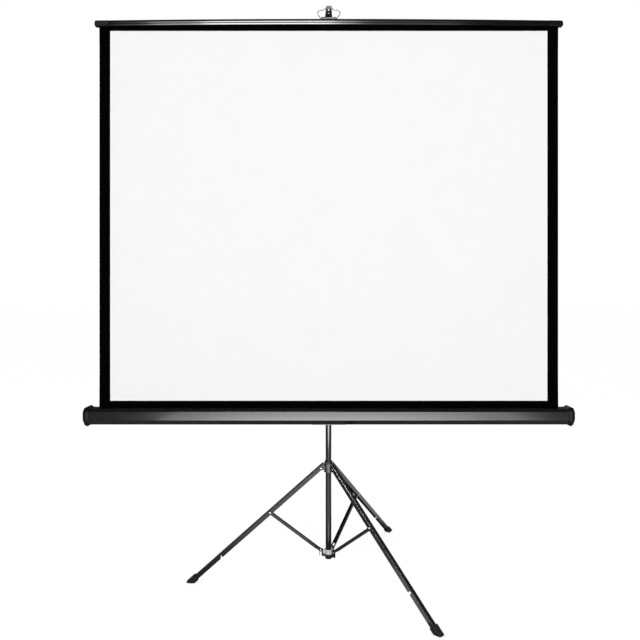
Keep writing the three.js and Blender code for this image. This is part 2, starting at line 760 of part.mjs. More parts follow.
function topRail() {
  const { front, back, low, high, middle } = railSection(0);
  const half = RAIL_LENGTH / 2 - RAIL_CAP_LENGTH;
  const outer = [
    [back, low, RAIL_BACK_R],
    [front, low, RAIL_FRONT_R],
    [front, middle - RAIL_GROOVE_HALF, RAIL_GROOVE_HALF * 4],
    [front + RAIL_GROOVE, middle - RAIL_GROOVE_HALF / 2],
    [front + RAIL_GROOVE, middle + RAIL_GROOVE_HALF / 2],
    [front, middle + RAIL_GROOVE_HALF, RAIL_GROOVE_HALF * 4],
    [front, high, RAIL_FRONT_R],
    [back, high, RAIL_BACK_R],
  ];
  const inset = RAIL_WALL + RAIL_GROOVE;
  const inner = [
    [back - RAIL_WALL, low + RAIL_WALL, RAIL_BACK_R - RAIL_WALL],
    [front + inset, low + RAIL_WALL, RAIL_FRONT_R - RAIL_WALL],
    [front + inset, high - RAIL_WALL, RAIL_FRONT_R - RAIL_WALL],
    [back - RAIL_WALL, high - RAIL_WALL, RAIL_BACK_R - RAIL_WALL],
  ];
  const slot = [
    [FABRIC_Y - RAIL_SLOT / 2, low - OVERCUT],
    [FABRIC_Y + RAIL_SLOT / 2, low - OVERCUT],
    [FABRIC_Y + RAIL_SLOT / 2, middle],
    [FABRIC_Y - RAIL_SLOT / 2, middle],
  ];
  const cut = half + OVERCUT;
  const straight = prism("yz", outer, -half, half, BOW_STEPS)
    .subtract(prism("yz", inner, -cut, cut, BOW_STEPS))
    .subtract(prism("yz", slot, -cut, cut, BOW_STEPS));
  return bowed(straight);
}

function railCap() {
  const station = (x, over) => {
    const { front, back, low, high } = railSection(over);
    const corners = [
      [back, low, RAIL_BACK_R],
      [front, low, RAIL_FRONT_R],
      [front, high, RAIL_FRONT_R],
      [back, high, RAIL_BACK_R],
    ];
    return outline(corners).map(({ x: y, y: z }) => [x, y, z]);
  };
  const end = RAIL_LENGTH / 2;
  const inner = end - RAIL_CAP_LENGTH;
  const round = end - RAIL_CAP_ROUND;
  const body = Manifold.hull([
    ...station(inner, RAIL_CAP_OVER),
    ...station(round, RAIL_CAP_OVER),
    ...station(end, RAIL_CAP_OVER - RAIL_CAP_SHRINK),
  ]);
  const { low, middle } = railSection(0);
  const slot = box(
    inner - OVERCUT,
    FABRIC_WIDTH / 2 + SIDE_GAP,
    FABRIC_Y - RAIL_SLOT / 2,
    FABRIC_Y + RAIL_SLOT / 2,
    low - RAIL_DEPTH,
    middle,
  );
  return bowed(body.subtract(slot));
}

// A flat sheet in the screen's plane whose top edge follows the bowed rail.
function sheet(width, low, high, front, back, bow) {
  const half = width / 2;
  const top = [];
  for (let i = 0; i <= BOW_STEPS; i++) {
    const x = half - (width * i) / BOW_STEPS;
    top.push([x, high - bow * railDrop(x)]);
  }
  return prism("xz", [[-half, low], [half, low], ...top], front, back);
}

function bailWire() {
  const tail = CLAMP_HALF - BAIL_TAIL;
  const half = [
    [CLAMP_HALF - WIRE_R, 0],
    [BAIL_HALF - BAIL_BEND_R, 0],
    [BAIL_HALF, BAIL_BEND_R],
    [BAIL_WIDEST, BAIL_WIDEST_RISE],
    [BAIL_SHOULDER, BAIL_SHOULDER_RISE],
    [BAIL_NECK, BAIL_NECK_RISE],
    [BAIL_PEAK, BAIL_Z - PIN_Z],
  ];
  const right = half.map(([x, z]) => new THREE.Vector3(x, FABRIC_Y, PIN_Z + z));
  const left = [...right].reverse().map(({ x, y, z }) => new THREE.Vector3(-x, y, z));
  const path = new THREE.CatmullRomCurve3(
    [
      new THREE.Vector3(-tail, FABRIC_Y, PIN_Z),
      ...left.reverse(),
      ...right.reverse(),
      new THREE.Vector3(tail, FABRIC_Y, PIN_Z),
    ],
    false,
    "centripetal",
  );
  const circle = new THREE.Shape().absarc(0, 0, WIRE_R, 0, 2 * Math.PI, false);
  return solid(
    new THREE.ExtrudeGeometry(circle, {
      steps: WIRE_STEPS,
      extrudePath: path,
      curveSegments: WIRE_SIDES,
      bevelEnabled: false,
    }),
  );
}

function bailClamp() {
  const front = FABRIC_Y - CLAMP_DEPTH / 2;
  const back = FABRIC_Y + CLAMP_DEPTH / 2;
  const top = RAIL_HIGH + CLAMP_HEIGHT;
  const section = [
    [front, RAIL_HIGH],
    [back, RAIL_HIGH],
    [back, top, CLAMP_EDGE_R],
    [front, top, CLAMP_EDGE_R],
  ];
  const tunnel = alongX(rod(WIRE_R + RUN_GAP, -CLAMP_HALF - OVERCUT, CLAMP_HALF + OVERCUT));
  return prism("yz", section, -CLAMP_HALF, CLAMP_HALF).subtract(
    tunnel.translate([0, FABRIC_Y, PIN_Z]),
  );
}

// The case's outline, clockwise from the front face's foot.
const HOUSING_SECTION = [
  [HOUSING_FRONT, HOUSING_FACE_LOW],
  [HOUSING_FRONT, HOUSING_FACE_HIGH],
  [HOUSING_FRONT + HOUSING_HIGH_IN, HOUSING_HIGH],
  [HOUSING_BACK - HOUSING_HIGH_IN, HOUSING_HIGH],
  [HOUSING_BACK, HOUSING_FACE_HIGH],
  [HOUSING_BACK, HOUSING_FACE_LOW],
  [HOUSING_BACK - HOUSING_LOW_IN, HOUSING_LOW],
  [HOUSING_FRONT + HOUSING_LOW_IN, HOUSING_LOW],
];

function housing() {
  const inner = offsetOutline(HOUSING_SECTION, -HOUSING_WALL);
  const cut = HOUSING_HALF + OVERCUT;
  const slot = box(
    -cut,
    cut,
    FABRIC_Y - HOUSING_SLOT / 2,
    FABRIC_Y + HOUSING_SLOT / 2,
    ROLLER_Z,
    HOUSING_HIGH + OVERCUT,
  );
  const bore = alongY(rod(SCREW_R + RUN_GAP, ROLLER_Y, HOUSING_BACK + OVERCUT));
  const screws = [-SADDLE_SCREW_X, SADDLE_SCREW_X].map((x) =>
    bore.translate([x, 0, SADDLE_SCREW_Z]),
  );
  return prism("yz", HOUSING_SECTION, -HOUSING_HALF, HOUSING_HALF)
    .subtract(prism("yz", inner, -cut, cut))
    .subtract(slot)
    .subtract(Manifold.union(screws));
}

// The right-hand end cap. It is hollow, and a spigot on it plugs into the housing.
function endCap() {
  const ring = (at, over) => offsetOutline(HOUSING_SECTION, over).map(([y, z]) => [at, y, z]);
  const rings = (shrink, back) =>
    Manifold.hull(
      CAP_STATIONS.flatMap((at, i) =>
        ring(HOUSING_HALF + (i === 0 ? -back : at - shrink), CAP_OVERS[i] - shrink),
      ),
    );
  const plug = (over) => offsetOutline(HOUSING_SECTION, over);
  const fit = -HOUSING_WALL - SLIP_GAP;
  const spigot = prism("yz", plug(fit), HOUSING_HALF - CAP_PLUG, HOUSING_HALF + CAP_WALL);
  const inside = prism(
    "yz",
    plug(fit - CAP_WALL),
    HOUSING_HALF - CAP_PLUG - OVERCUT,
    HOUSING_HALF + CAP_WALL + OVERCUT,
  );
  const end = HOUSING_HALF + CAP_STATIONS.at(-1);
  const axis = [0, ROLLER_Y, ROLLER_Z];
  const post = alongX(rod(CAP_POST_R, HOUSING_HALF, end - CAP_WALL / 2)).translate(axis);
  const bore = rod(SCREW_R + RUN_GAP, HOUSING_HALF - OVERCUT, end + OVERCUT);
  const hole = alongX(bore).translate(axis);
  return rings(0, 0)
    .add(spigot)
    .subtract(rings(CAP_WALL, 0))
    .subtract(inside)
    .add(post)
    .subtract(hole);
}

// A pan-head screw along +Z whose head's seat is at z = 0.
function panScrew(length) {
  return turned(
    [
      [0, -length],
      [SCREW_R, -length],
      [SCREW_R, FACE_GAP],
      [SCREW_HEAD_R, FACE_GAP],
      [SCREW_HEAD_R, SCREW_HEAD, SCREW_R / 2],
      [0, SCREW_HEAD],
    ],
    SMALL_STEPS,
  );
}

const ROLLER_HALF = HOUSING_HALF - ROLLER_END_GAP;
const onRoller = (body) => alongX(body).translate([0, ROLLER_Y, ROLLER_Z]);

// The right-hand plug of the roller, with the pin that turns in the bracket.
function rollerPlug() {
  const end = ROLLER_HALF;
  const face = end + ROLLER_FLANGE;
  return onRoller(
    turned(
      [
        [0, end - ROLLER_PLUG],
        [ROLLER_R - ROLLER_WALL - RUN_GAP, end - ROLLER_PLUG],
        [ROLLER_R - ROLLER_WALL - RUN_GAP, end],
        [ROLLER_FLANGE_R, end],
        [ROLLER_FLANGE_R, face],
        [ROLLER_PIN_R, face],
        [ROLLER_PIN_R, face + ROLLER_PIN],
        [0, face + ROLLER_PIN],
      ],
      SMALL_STEPS,
    ),
  );
}

// The bracket inside the right-hand end, with two posts that stand on the cap's end wall.
function rollerBracket() {
  const low = ROLLER_HALF + ROLLER_FLANGE + RUN_GAP * 2;
  const plate = prism(
    "yz",
    [
      [ROLLER_Y - BRACKET_HALF, ROLLER_Z - BRACKET_HIGH, BRACKET_CORNER_R],
      [ROLLER_Y + BRACKET_HALF, ROLLER_Z - BRACKET_HIGH, BRACKET_CORNER_R],
      [ROLLER_Y + BRACKET_HALF, ROLLER_Z + BRACKET_HIGH, BRACKET_CORNER_R],
      [ROLLER_Y - BRACKET_HALF, ROLLER_Z + BRACKET_HIGH, BRACKET_CORNER_R],
    ],
    low,
    low + BRACKET_SHEET,
  );
  const hole = onRoller(rod(ROLLER_PIN_R + RUN_GAP, low - OVERCUT, low + BRACKET_SHEET + OVERCUT));
  const reach = HOUSING_HALF + CAP_STATIONS.at(-1) - CAP_WALL;
  const posts = [-BRACKET_POST_AT, BRACKET_POST_AT].map((z) =>
    onRoller(rod(BRACKET_POST_R, low, reach)).translate([0, 0, z]),
  );
  return plate.subtract(hole).add(Manifold.union(posts));
}

// The bent plate that holds the housing: up its back, round its lower rear slope and under it.
function saddle() {
  const outer = offsetOutline(HOUSING_SECTION, SADDLE_SHEET);
  const [, , , , , backLow, slopeFoot] = outer;
  const foot = HOUSING_BACK - HOUSING_LOW_IN;
  const lip = foot - SADDLE_LIP;
  const section = [
    [SADDLE_Y, SADDLE_HIGH],
    [HOUSING_BACK, SADDLE_HIGH],
    [HOUSING_BACK, HOUSING_FACE_LOW],
    [foot, HOUSING_LOW],
    [lip, HOUSING_LOW],
    [lip, HOUSING_LOW - SADDLE_SHEET],
    slopeFoot,
    backLow,
  ];
  const half = SADDLE_WIDTH / 2;
  const face = [
    [-half, HOUSING_LOW - SADDLE_WIDTH],
    [half, HOUSING_LOW - SADDLE_WIDTH],
    [half, HOUSING_HIGH],
    [half / 2, SADDLE_HIGH, SADDLE_CORNER_R],
    [-half / 2, SADDLE_HIGH, SADDLE_CORNER_R],
    [-half, HOUSING_HIGH],
  ];
  const bolt = alongY(rod(BOLT_R + RUN_GAP, HOUSING_BACK - OVERCUT, SADDLE_Y + OVERCUT));
  const screws = [-SADDLE_SCREW_X, SADDLE_SCREW_X].map((x) =>
    alongY(rod(SCREW_R + RUN_GAP, HOUSING_BACK - OVERCUT, SADDLE_Y + OVERCUT)).translate([
      x,
      0,
      SADDLE_SCREW_Z,
    ]),
  );
  return prism("yz", section, -half, half)
    .intersect(prism("xz", face, HOUSING_FRONT, 0))
    .subtract(bolt.translate([0, 0, BOLT_Z]))
    .subtract(Manifold.union(screws));
}

function carriage() {
  const plan = [
    [-CARRIAGE_HALF, CARRIAGE_FRONT],
    [CARRIAGE_HALF, CARRIAGE_FRONT],
    [CARRIAGE_HALF, CARRIAGE_REAR, CARRIAGE_EDGE_R],
    [-CARRIAGE_HALF, CARRIAGE_REAR, CARRIAGE_EDGE_R],
  ];
  const bore = rod(BUSH_R + RUN_GAP, CARRIAGE_LOW - OVERCUT, CARRIAGE_HIGH + OVERCUT, ROUND_STEPS);
  const bolt = alongY(
    rod(BOLT_R + RUN_GAP, CARRIAGE_FRONT - OVERCUT, CARRIAGE_FRONT + BOLT_DEPTH + RUN_GAP),
  );
  const stud = alongY(rod(STUD_R + RUN_GAP, 0, CARRIAGE_REAR + OVERCUT));
  return prism("xy", plan, CARRIAGE_LOW, CARRIAGE_HIGH)
    .subtract(bore)
    .subtract(bolt.translate([0, 0, BOLT_Z]))
    .subtract(stud.translate([0, 0, KNOB_Z]));
}

function pivotBolt() {
  const seat = HOUSING_BACK - FACE_GAP;
  const profile = [
    [0, seat - BOLT_HEAD],
    [BOLT_HEAD_R, seat - BOLT_HEAD, BOLT_R / 2],
    [BOLT_HEAD_R, seat],
    [BOLT_R, seat],
    [BOLT_R, CARRIAGE_FRONT + BOLT_DEPTH],
    [0, CARRIAGE_FRONT + BOLT_DEPTH],
  ];
  return alongY(turned(profile, SMALL_STEPS)).translate([0, 0, BOLT_Z]);
}

function pivotWasher() {
  const ring = sleeve(BOLT_R + RUN_GAP, WASHER_R, SADDLE_Y, CARRIAGE_FRONT);
  return alongY(ring).translate([0, 0, BOLT_Z]);
}

function clampKnob() {
  const face = CARRIAGE_REAR + SIDE_GAP;
  const body = face + KNOB_NECK;
  let knob = turned([
    [0, face],
    [KNOB_NECK_R, face],
    [KNOB_NECK_R, body],
    [KNOB_R, body, CAP_EDGE],
    [KNOB_R, body + KNOB_THICK, CAP_EDGE],
    [0, body + KNOB_THICK],
  ]);
  for (let i = 0; i < KNOB_LOBES; i++) {
    const dent = rod(KNOB_DENT_R, face, body + KNOB_THICK + OVERCUT)
      .translate([KNOB_DENT_AT, 0, 0])
      .rotate([0, 0, (360 * (i + 0.5)) / KNOB_LOBES]);
    knob = knob.subtract(dent);
  }
  const socket = rod(STUD_R + SLIP_GAP, face - OVERCUT, body + KNOB_THICK / 2);
  return alongY(knob.subtract(socket)).translate([0, 0, KNOB_Z]);
}

function clampStud() {
  const tip = BUSH_R + RUN_GAP;
  const end = CARRIAGE_REAR + SIDE_GAP + KNOB_NECK + KNOB_THICK / 2;
  return alongY(rod(STUD_R, tip, end)).translate([0, 0, KNOB_Z]);
}

// The part

const LOOKS = {
  black: { color: BLACK, metalness: 0.2, roughness: 0.3 },
  grey: { color: GREY, metalness: 0.3, roughness: 0.45 },
  steel: { color: STEEL, metalness: 0.9, roughness: 0.25 },
  rubber: { color: RUBBER, metalness: 0, roughness: 0.8 },
  white: { color: WHITE, metalness: 0, roughness: 0.9 },
};
const part = new THREE.Group();

function place(name, look, body) {
  const made = body.getMesh();
  const geometry = new THREE.BufferGeometry();
  geometry.setAttribute("position", new THREE.BufferAttribute(made.vertProperties.slice(), 3));
  geometry.setIndex(new THREE.BufferAttribute(made.triVerts.slice(), 1));
  geometry.computeVertexNormals();
  const mesh = new THREE.Mesh(geometry, new THREE.MeshStandardMaterial(LOOKS[look]));
  mesh.name = name;
  part.add(mesh);
}

const BEARINGS = { left: LEFT_BEARING, front: FRONT_BEARING, rear: REAR_BEARING };
const bearings = Object.values(BEARINGS);

place("column_tube", "black", sleeve(COLUMN_BORE, COLUMN_R, COLUMN_BOTTOM, COLUMN_TOP));
place("column_plug", "rubber", columnPlug());
place("column_cap", "black", columnCap());
place("lower_hub", "grey", lowerHub(bearings));
place("mast_lock_button", "grey", lockButton());

place("leg_collar", "grey", legCollar(bearings));
place("collar_bush", "black", liner(LEG_PIVOT_Z - COLLAR_LOW, LEG_PIVOT_Z + COLLAR_HIGH));

for (const [side, bearing] of Object.entries(BEARINGS)) {
  const pivot = rivet(LEG_HALF).translate([LINK_R, 0, LEG_PIVOT_Z]);
  place(`leg_pivot_${side}`, "steel", pivot.rotate([0, 0, bearing]));
  place(`leg_${side}`, "black", onLeg(legChannel(), bearing));
  place(`foot_${side}`, "rubber", onLeg(footBoot(), bearing));
  const upper = rivet(LEG_HALF).translate([0, 0, -STRUT_AT]);
  place(`strut_rivet_${side}`, "steel", onLeg(upper, bearing));
  place(`strut_${side}`, "black", onStrut(strutChannel(), bearing));
  const lower = rivet(STRUT_HALF).translate([0, 0, -STRUT_LENGTH]);
  place(`hub_rivet_${side}`, "steel", onStrut(lower, bearing));
}

place("carriage", "black", carriage());
place("carriage_bush", "black", liner(CARRIAGE_LOW, CARRIAGE_HIGH));
place("pivot_bolt", "steel", pivotBolt());
place("pivot_washer", "steel", pivotWasher());
place("saddle", "black", saddle());
place("clamp_knob", "black", clampKnob());
place("clamp_stud", "steel", clampStud());

place("housing", "black", housing());
const saddleScrew = alongY(panScrew(SADDLE_SHEET + HOUSING_WALL + SCREW_HEAD)).translate([
  SADDLE_SCREW_X,
  SADDLE_Y,
  SADDLE_SCREW_Z,
]);
const capScrew = alongX(panScrew(SCREW_LENGTH)).translate([
  HOUSING_HALF + CAP_STATIONS.at(-1),
  ROLLER_Y,
  ROLLER_Z,
]);
const PAIRS = [
  ["end_cap", "black", endCap()],
  ["cap_screw", "steel", capScrew],
  ["roller_bracket", "steel", rollerBracket()],
  ["roller_plug", "grey", rollerPlug()],
  ["saddle_screw", "steel", saddleScrew],
  ["rail_cap", "black", railCap()],
];
for (const [name, look, right] of PAIRS) {
  place(`${name}_left`, look, mirrored(right));
  place(`${name}_right`, look, right);
}
place(
  "roller_tube",
  "steel",
  onRoller(sleeve(ROLLER_R - ROLLER_WALL, ROLLER_R, -ROLLER_HALF, ROLLER_HALF)),
);
place(
  "fabric_roll",
  "black",
  onRoller(sleeve(ROLLER_R + RUN_GAP, ROLL_R, -FABRIC_WIDTH / 2, FABRIC_WIDTH / 2)),
);

place("mast_tube", "steel", sleeve(MAST_BORE, MAST_R, MAST_BOTTOM, MAST_TOP));
place("mast_glide", "black", mastGlide());
place("mast_hook", "black", mastHook());

place("top_rail", "black", topRail());
place("bail_clamp", "steel", bailClamp());
place("bail_wire", "steel", bailWire());
place(
  "screen_backing",
  "black",
  sheet(FABRIC_WIDTH, FABRIC_LOW, RAIL_LOW + RAIL_HEM, FABRIC_Y, FABRIC_Y + FABRIC_THICK, 1),
);
place(
  "viewing_surface",
  "white",
  sheet(WHITE_WIDTH, WHITE_LOW, WHITE_HIGH, FABRIC_Y - WHITE_THICK, FABRIC_Y, 0),
);

part.position.set(0, COLUMN_Y, 0);

export default part;
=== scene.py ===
# %% [markdown]
# # A tripod projector screen
# The real object is a roller blind stood upside down: a long case on a folding tripod holds the
# rolled cloth, and a telescoping mast behind it hooks the cloth's top rail and holds it up.
# Every hard piece already exists as a CAD solid, so this lesson loads those as a fixed frame and
# then dresses them. Pieces that need a finer or softer surface than the CAD gives are rebuilt.

# %% Load the frame
import json
import math

import bmesh
import bpy
from mathutils import Matrix, Vector


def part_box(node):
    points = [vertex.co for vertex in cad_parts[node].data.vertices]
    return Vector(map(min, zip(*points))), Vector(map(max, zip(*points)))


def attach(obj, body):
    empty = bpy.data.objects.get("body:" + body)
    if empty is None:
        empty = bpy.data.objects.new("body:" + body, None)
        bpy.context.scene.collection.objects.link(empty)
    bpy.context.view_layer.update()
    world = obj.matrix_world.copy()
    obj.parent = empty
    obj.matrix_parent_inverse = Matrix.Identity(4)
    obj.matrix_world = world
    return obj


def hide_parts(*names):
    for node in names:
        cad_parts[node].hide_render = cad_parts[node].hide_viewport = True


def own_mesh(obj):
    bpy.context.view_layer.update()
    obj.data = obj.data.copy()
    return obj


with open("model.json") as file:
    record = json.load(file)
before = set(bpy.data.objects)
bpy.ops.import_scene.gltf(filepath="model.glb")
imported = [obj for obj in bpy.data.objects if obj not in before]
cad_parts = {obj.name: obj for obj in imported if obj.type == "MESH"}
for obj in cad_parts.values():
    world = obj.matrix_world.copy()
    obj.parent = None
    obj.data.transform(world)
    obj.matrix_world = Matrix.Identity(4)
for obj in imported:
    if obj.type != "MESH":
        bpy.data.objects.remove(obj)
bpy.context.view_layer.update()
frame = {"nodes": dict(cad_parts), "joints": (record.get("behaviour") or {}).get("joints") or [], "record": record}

nodes = frame["nodes"]
joints = {joint["name"]: joint for joint in frame["joints"]}
SIDES = ("left", "front", "rear")
COLUMN_Y = -0.0235  # the column's axis in the frame
CLOTH_Y = COLUMN_Y - 0.076  # the plane in which the cloth hangs, in front of the column

# %% [markdown]
# ## Node trees from one method
# Materials and Geometry Nodes are both graphs. A small wrapper makes every node through one
# method, and wraps each output so that ordinary arithmetic on it adds the Math nodes.

# %% The graph helper
def arithmetic(operation, number_first=False):
    """A method for one operator; its reflected form has the plain number on the left."""

    def method(self, other):
        pair = (other, self) if number_first else (self, other)
        return self.graph.math(operation, *pair)

    return method


class Output:
    """One output of a node, with Python's operators on it."""

    def __init__(self, graph, node, socket):
        self.graph, self.node, self.socket = graph, node, socket

    def output(self, name):
        return Output(self.graph, self.node, self.node.outputs[name])

    __add__, __radd__ = arithmetic("ADD"), arithmetic("ADD", number_first=True)
    __sub__, __rsub__ = arithmetic("SUBTRACT"), arithmetic("SUBTRACT", number_first=True)
    __mul__, __rmul__ = arithmetic("MULTIPLY"), arithmetic("MULTIPLY", number_first=True)
    __truediv__, __rtruediv__ = arithmetic("DIVIDE"), arithmetic("DIVIDE", number_first=True)
    __gt__, __lt__ = arithmetic("GREATER_THAN"), arithmetic("GREATER_THAN", number_first=True)


# %% The node tree
def grey(level, tint=(1, 1, 1)):
    """A colour of one level, as red, green, blue and alpha."""
    return (level * tint[0], level * tint[1], level * tint[2], 1)


class Graph:
    """A node tree, of a material or of Geometry Nodes."""

    def __init__(self, tree):
        self.tree = tree
        tree.nodes.clear()

    def node(self, kind, settings=None, inputs=None, out=0):
        """Makes a node, gives it its settings and then its sockets' values or links."""
        made = self.tree.nodes.new(kind)
        for name, value in (settings or {}).items():
            if name == "stops":
                self.set_stops(made.color_ramp.elements, value)
            else:
                setattr(made, name, value)
        for slot, value in (inputs or {}).items():
            if isinstance(value, Output):
                self.tree.links.new(value.socket, made.inputs[slot])
            else:
                made.inputs[slot].default_value = value
        return Output(self, made, made.outputs[out] if made.outputs else None)

    @staticmethod
    def set_stops(elements, stops):
        while len(elements) < len(stops):
            elements.new(1.0)
        for element, (position, level) in zip(elements, stops):
            element.position = position
            element.color = grey(level)

    def math(self, operation, *values):
        return self.node("ShaderNodeMath", {"operation": operation}, dict(enumerate(values)))

    def mix(self, factor, first, second):
        return self.node(
            "ShaderNodeMix", {"data_type": "RGBA"}, {0: factor, 6: first, 7: second}, out=2
        )


# %% [markdown]
# ## Finishes
# Each finish is one Principled shader. Its colour, roughness and fine relief change over the
# surface through noise in Object coordinates, which are metres here, so the scale of a grain
# can be written as its real size.

# %% The finish helper
RISING = ((0.0, 0.0), (1.0, 1.0))  # a ramp's stops that keep a value between 0 and 1


class Finish(Graph):
    """A material under construction; coords are metres on the piece."""

    def __init__(self, name):
        self.material = bpy.data.materials.new(name)
        self.material.use_nodes = True
        super().__init__(self.material.node_tree)
        self.coords = self.node("ShaderNodeTexCoord").output("Object")

    def noise(self, size, detail=3.0, coords=None, stretch=(1, 1, 1)):
        """Soft noise with a grain of the given size in metres."""
        scaled = self.node(
            "ShaderNodeVectorMath",
            {"operation": "MULTIPLY"},
            {0: coords or self.coords, 1: tuple(s / size for s in stretch)},
        )
        sockets = {"Vector": scaled, "Scale": 1.0, "Detail": detail}
        return self.node("ShaderNodeTexNoise", None, sockets)

    def ramp(self, value, *stops):
        return self.node("ShaderNodeValToRGB", {"stops": stops}, {0: value})

    def bump(self, height, depth, strength):
        return self.node(
            "ShaderNodeBump", None, {"Height": height, "Distance": depth, "Strength": strength}
        )

    def shade(self, **sockets):
        """Ends the material; an underscore in a socket's name stands for a space."""
        named = {name.replace("_", " "): value for name, value in sockets.items()}
        surface = self.node("ShaderNodeBsdfPrincipled", None, named)
        self.node("ShaderNodeOutputMaterial", None, {"Surface": surface})
        return self.material


# %% [markdown]
# ### Black enamel
# The column, the legs and struts, the case and the rail wear a hard black enamel. It could be
# one flat black, but then its long highlights would be ruled lines. Real enamel has a slight
# orange peel, broad clouds of duller gloss and a little dust, so noise at three sizes makes
# those, and a faint clear coat lies over them.

# %% Enamel
def enamel(name, base=0.0045, gloss=0.11):
    f = Finish(name)
    cloudy = f.noise(size=0.09)
    peel = f.noise(size=0.0016, detail=1.0)
    dust = f.ramp(f.noise(size=0.0022, detail=2.0), (0.74, 0.0), (0.86, 1.0)) * 0.04
    colour = f.mix(cloudy, grey(base * 0.8), grey(base * 1.3))
    return f.shade(
        Base_Color=f.mix(dust, colour, grey(0.06)),
        Roughness=cloudy * 0.06 + (gloss - 0.03) + dust,
        Normal=f.bump(peel, depth=0.00002, strength=0.25),
        Specular_IOR_Level=0.5,
        Coat_Weight=0.2,
        Coat_Roughness=0.06,
    )


# %% [markdown]
# ### Hammered paint
# The collar and the hub are castings in a hammered paint, which dries into small dimples. They
# could be modelled, but they are a fraction of a millimetre deep, so smooth Voronoi cells
# feed a Bump node. The hub is pale on its upper ring alone: its ears are black, and its underside
# is painted shade, black as if in shadow, so its height and its distance from the column's axis choose between the
# two.

# %% Hammered paint
DIMPLES = 420.0  # in a metre
EAR_START = 0.019  # the ears begin at this distance from the column's axis
EAR_FADE = 0.00008  # in square metres, as it is the squared distance that is compared
UNDERSIDE_FADE = 0.005
# the ears' own black, also used as painted shade on the hub's underside
EAR_AND_SHADE_BLACK = grey(0.012)


def hammered(name, dark=0.08, light=0.14, metal=0.85, painted_shade_below=None):
    f = Finish(name)
    cells = f.node(
        "ShaderNodeTexVoronoi",
        {"feature": "SMOOTH_F1"},
        {"Vector": f.coords, "Scale": DIMPLES, "Smoothness": 0.8},
    )
    cloudy = f.noise(size=0.02)
    colour = f.mix(cloudy, grey(dark), grey(light))
    if painted_shade_below is not None:
        at = f.node("ShaderNodeSeparateXYZ", None, {0: f.coords})
        x, y = at.output("X"), at.output("Y") - COLUMN_Y
        ear = f.ramp(((x * x + y * y) - EAR_START**2) / EAR_FADE, *RISING)
        # painted shade: below the given height the hub turns black, as if its underside were in shadow
        above = f.ramp((at.output("Z") - painted_shade_below) / UNDERSIDE_FADE, *RISING)
        colour = f.mix(above * (1 - ear), EAR_AND_SHADE_BLACK, colour)
    return f.shade(
        Base_Color=colour,
        Metallic=metal,
        Roughness=cloudy * 0.14 + 0.30,
        Normal=f.bump(cells, depth=0.00025, strength=0.5),
    )


# %% [markdown]
# ### Bright steel
# The mast, the rivets and the screws are bright plated steel. A perfect mirror would look too
# clean, while drawn tube has fine lines along its length and a patchy haze. Noise that is
# stretched along the height gives the lines, and wide noise the haze.

# %% Steel
def bright_steel(name, base=0.72, rough=0.16):
    f = Finish(name)
    haze = f.noise(size=0.012)
    drawn = f.noise(size=0.0006, detail=2.0, stretch=(1, 1, 0.06))
    return f.shade(
        Base_Color=f.mix(haze, grey(base * 0.88, (1, 1, 1.01)), grey(base, (1, 1, 1.02))),
        Metallic=1.0,
        Roughness=haze * 0.12 + drawn * 0.08 + (rough - 0.08),
        Normal=f.bump(drawn, depth=0.00002, strength=0.4),
    )


# %% [markdown]
# ### Mouldings and rubber
# The end caps, the knob and the column's cap are moulded plastic, and the boots are rubber. Each
# has a fine dull skin from its mould and no metal in it, so one function makes them all, from a
# level of grey, a roughness, the size of the grain and how much the surface shines.

# %% Plastic and rubber
def plastic(name, base, rough, grain, shine=0.5):
    f = Finish(name)
    fine = f.noise(size=grain, detail=2.0)
    cloudy = f.noise(size=0.03)
    return f.shade(
        Base_Color=f.mix(cloudy, grey(base * 0.85), grey(base * 1.2)),
        Roughness=cloudy * 0.10 + (rough - 0.05),
        Normal=f.bump(fine, depth=0.00006, strength=0.6),
        Specular_IOR_Level=shine,
    )


# %% [markdown]
# ### Screen cloth
# The screen is a black backing with a matte white surface, both woven. The weave could be a
# picture, but two crossed sine waves along the sheet's own UV map, which is in metres, make it
# at the true size of its threads and stay with the cloth as it bends.

# %% Cloth
def cloth(name, dark, light, thread, relief):
    f = Finish(name)
    uv = f.node("ShaderNodeUVMap", {"uv_map": "metres"})
    split = f.node("ShaderNodeSeparateXYZ", None, {0: uv})
    turns = 2 * math.pi / thread
    warp = f.math("SINE", split.output("X") * turns)
    weft = f.math("SINE", split.output("Y") * turns)
    cloudy = f.noise(size=0.16, detail=4.0, coords=uv)
    slub = f.noise(size=0.004, detail=2.0, coords=uv, stretch=(0.2, 1, 1))
    return f.shade(
        Base_Color=f.mix(cloudy * 0.7 + slub * 0.3, grey(dark), grey(light)),
        Roughness=slub * 0.08 + 0.88,
        Normal=f.bump(warp * weft + slub * 0.4, depth=relief, strength=0.5),
        Specular_IOR_Level=0.02,
    )


# %% One finish for each material slot
finishes = {
    "black_enamel": enamel("black enamel"),
    "grey_casting": hammered("hammered grey"),
    "bright_steel": bright_steel("bright steel"),
    "roller_steel": bright_steel("roller steel", base=0.5, rough=0.34),
    "black_plastic": plastic("black moulding", base=0.003, rough=0.42, grain=0.0009, shine=0.22),
    "guide_plastic": plastic("guide plastic", base=0.02, rough=0.5, grain=0.0007),
    "foot_rubber": plastic("foot rubber", base=0.012, rough=0.62, grain=0.0012),
    "black_backing": cloth("black backing", 0.0002, 0.0007, thread=0.0011, relief=0.00008),
    "matte_white": cloth("matte white surface", 0.90, 0.935, thread=0.0008, relief=0.00003),
}
print("finishes", sorted(finishes))

# %% [markdown]
# ## Dressing the CAD pieces
# A CAD solid comes as loose triangles with knife edges, while sheet metal and mouldings have
# small radii that catch the light as a thin line. Weld, a narrow Bevel on the sharp edges and
# smooth shading between creases give those radii without touching the solid itself. Weighted
# Normal then lets the large faces keep their own direction, or a long tube would mirror the
# room as if it were bent by the tiny faces at its ends.

# %% Smooth shading that stops at creases
CREASE_ANGLE = math.radians(32)


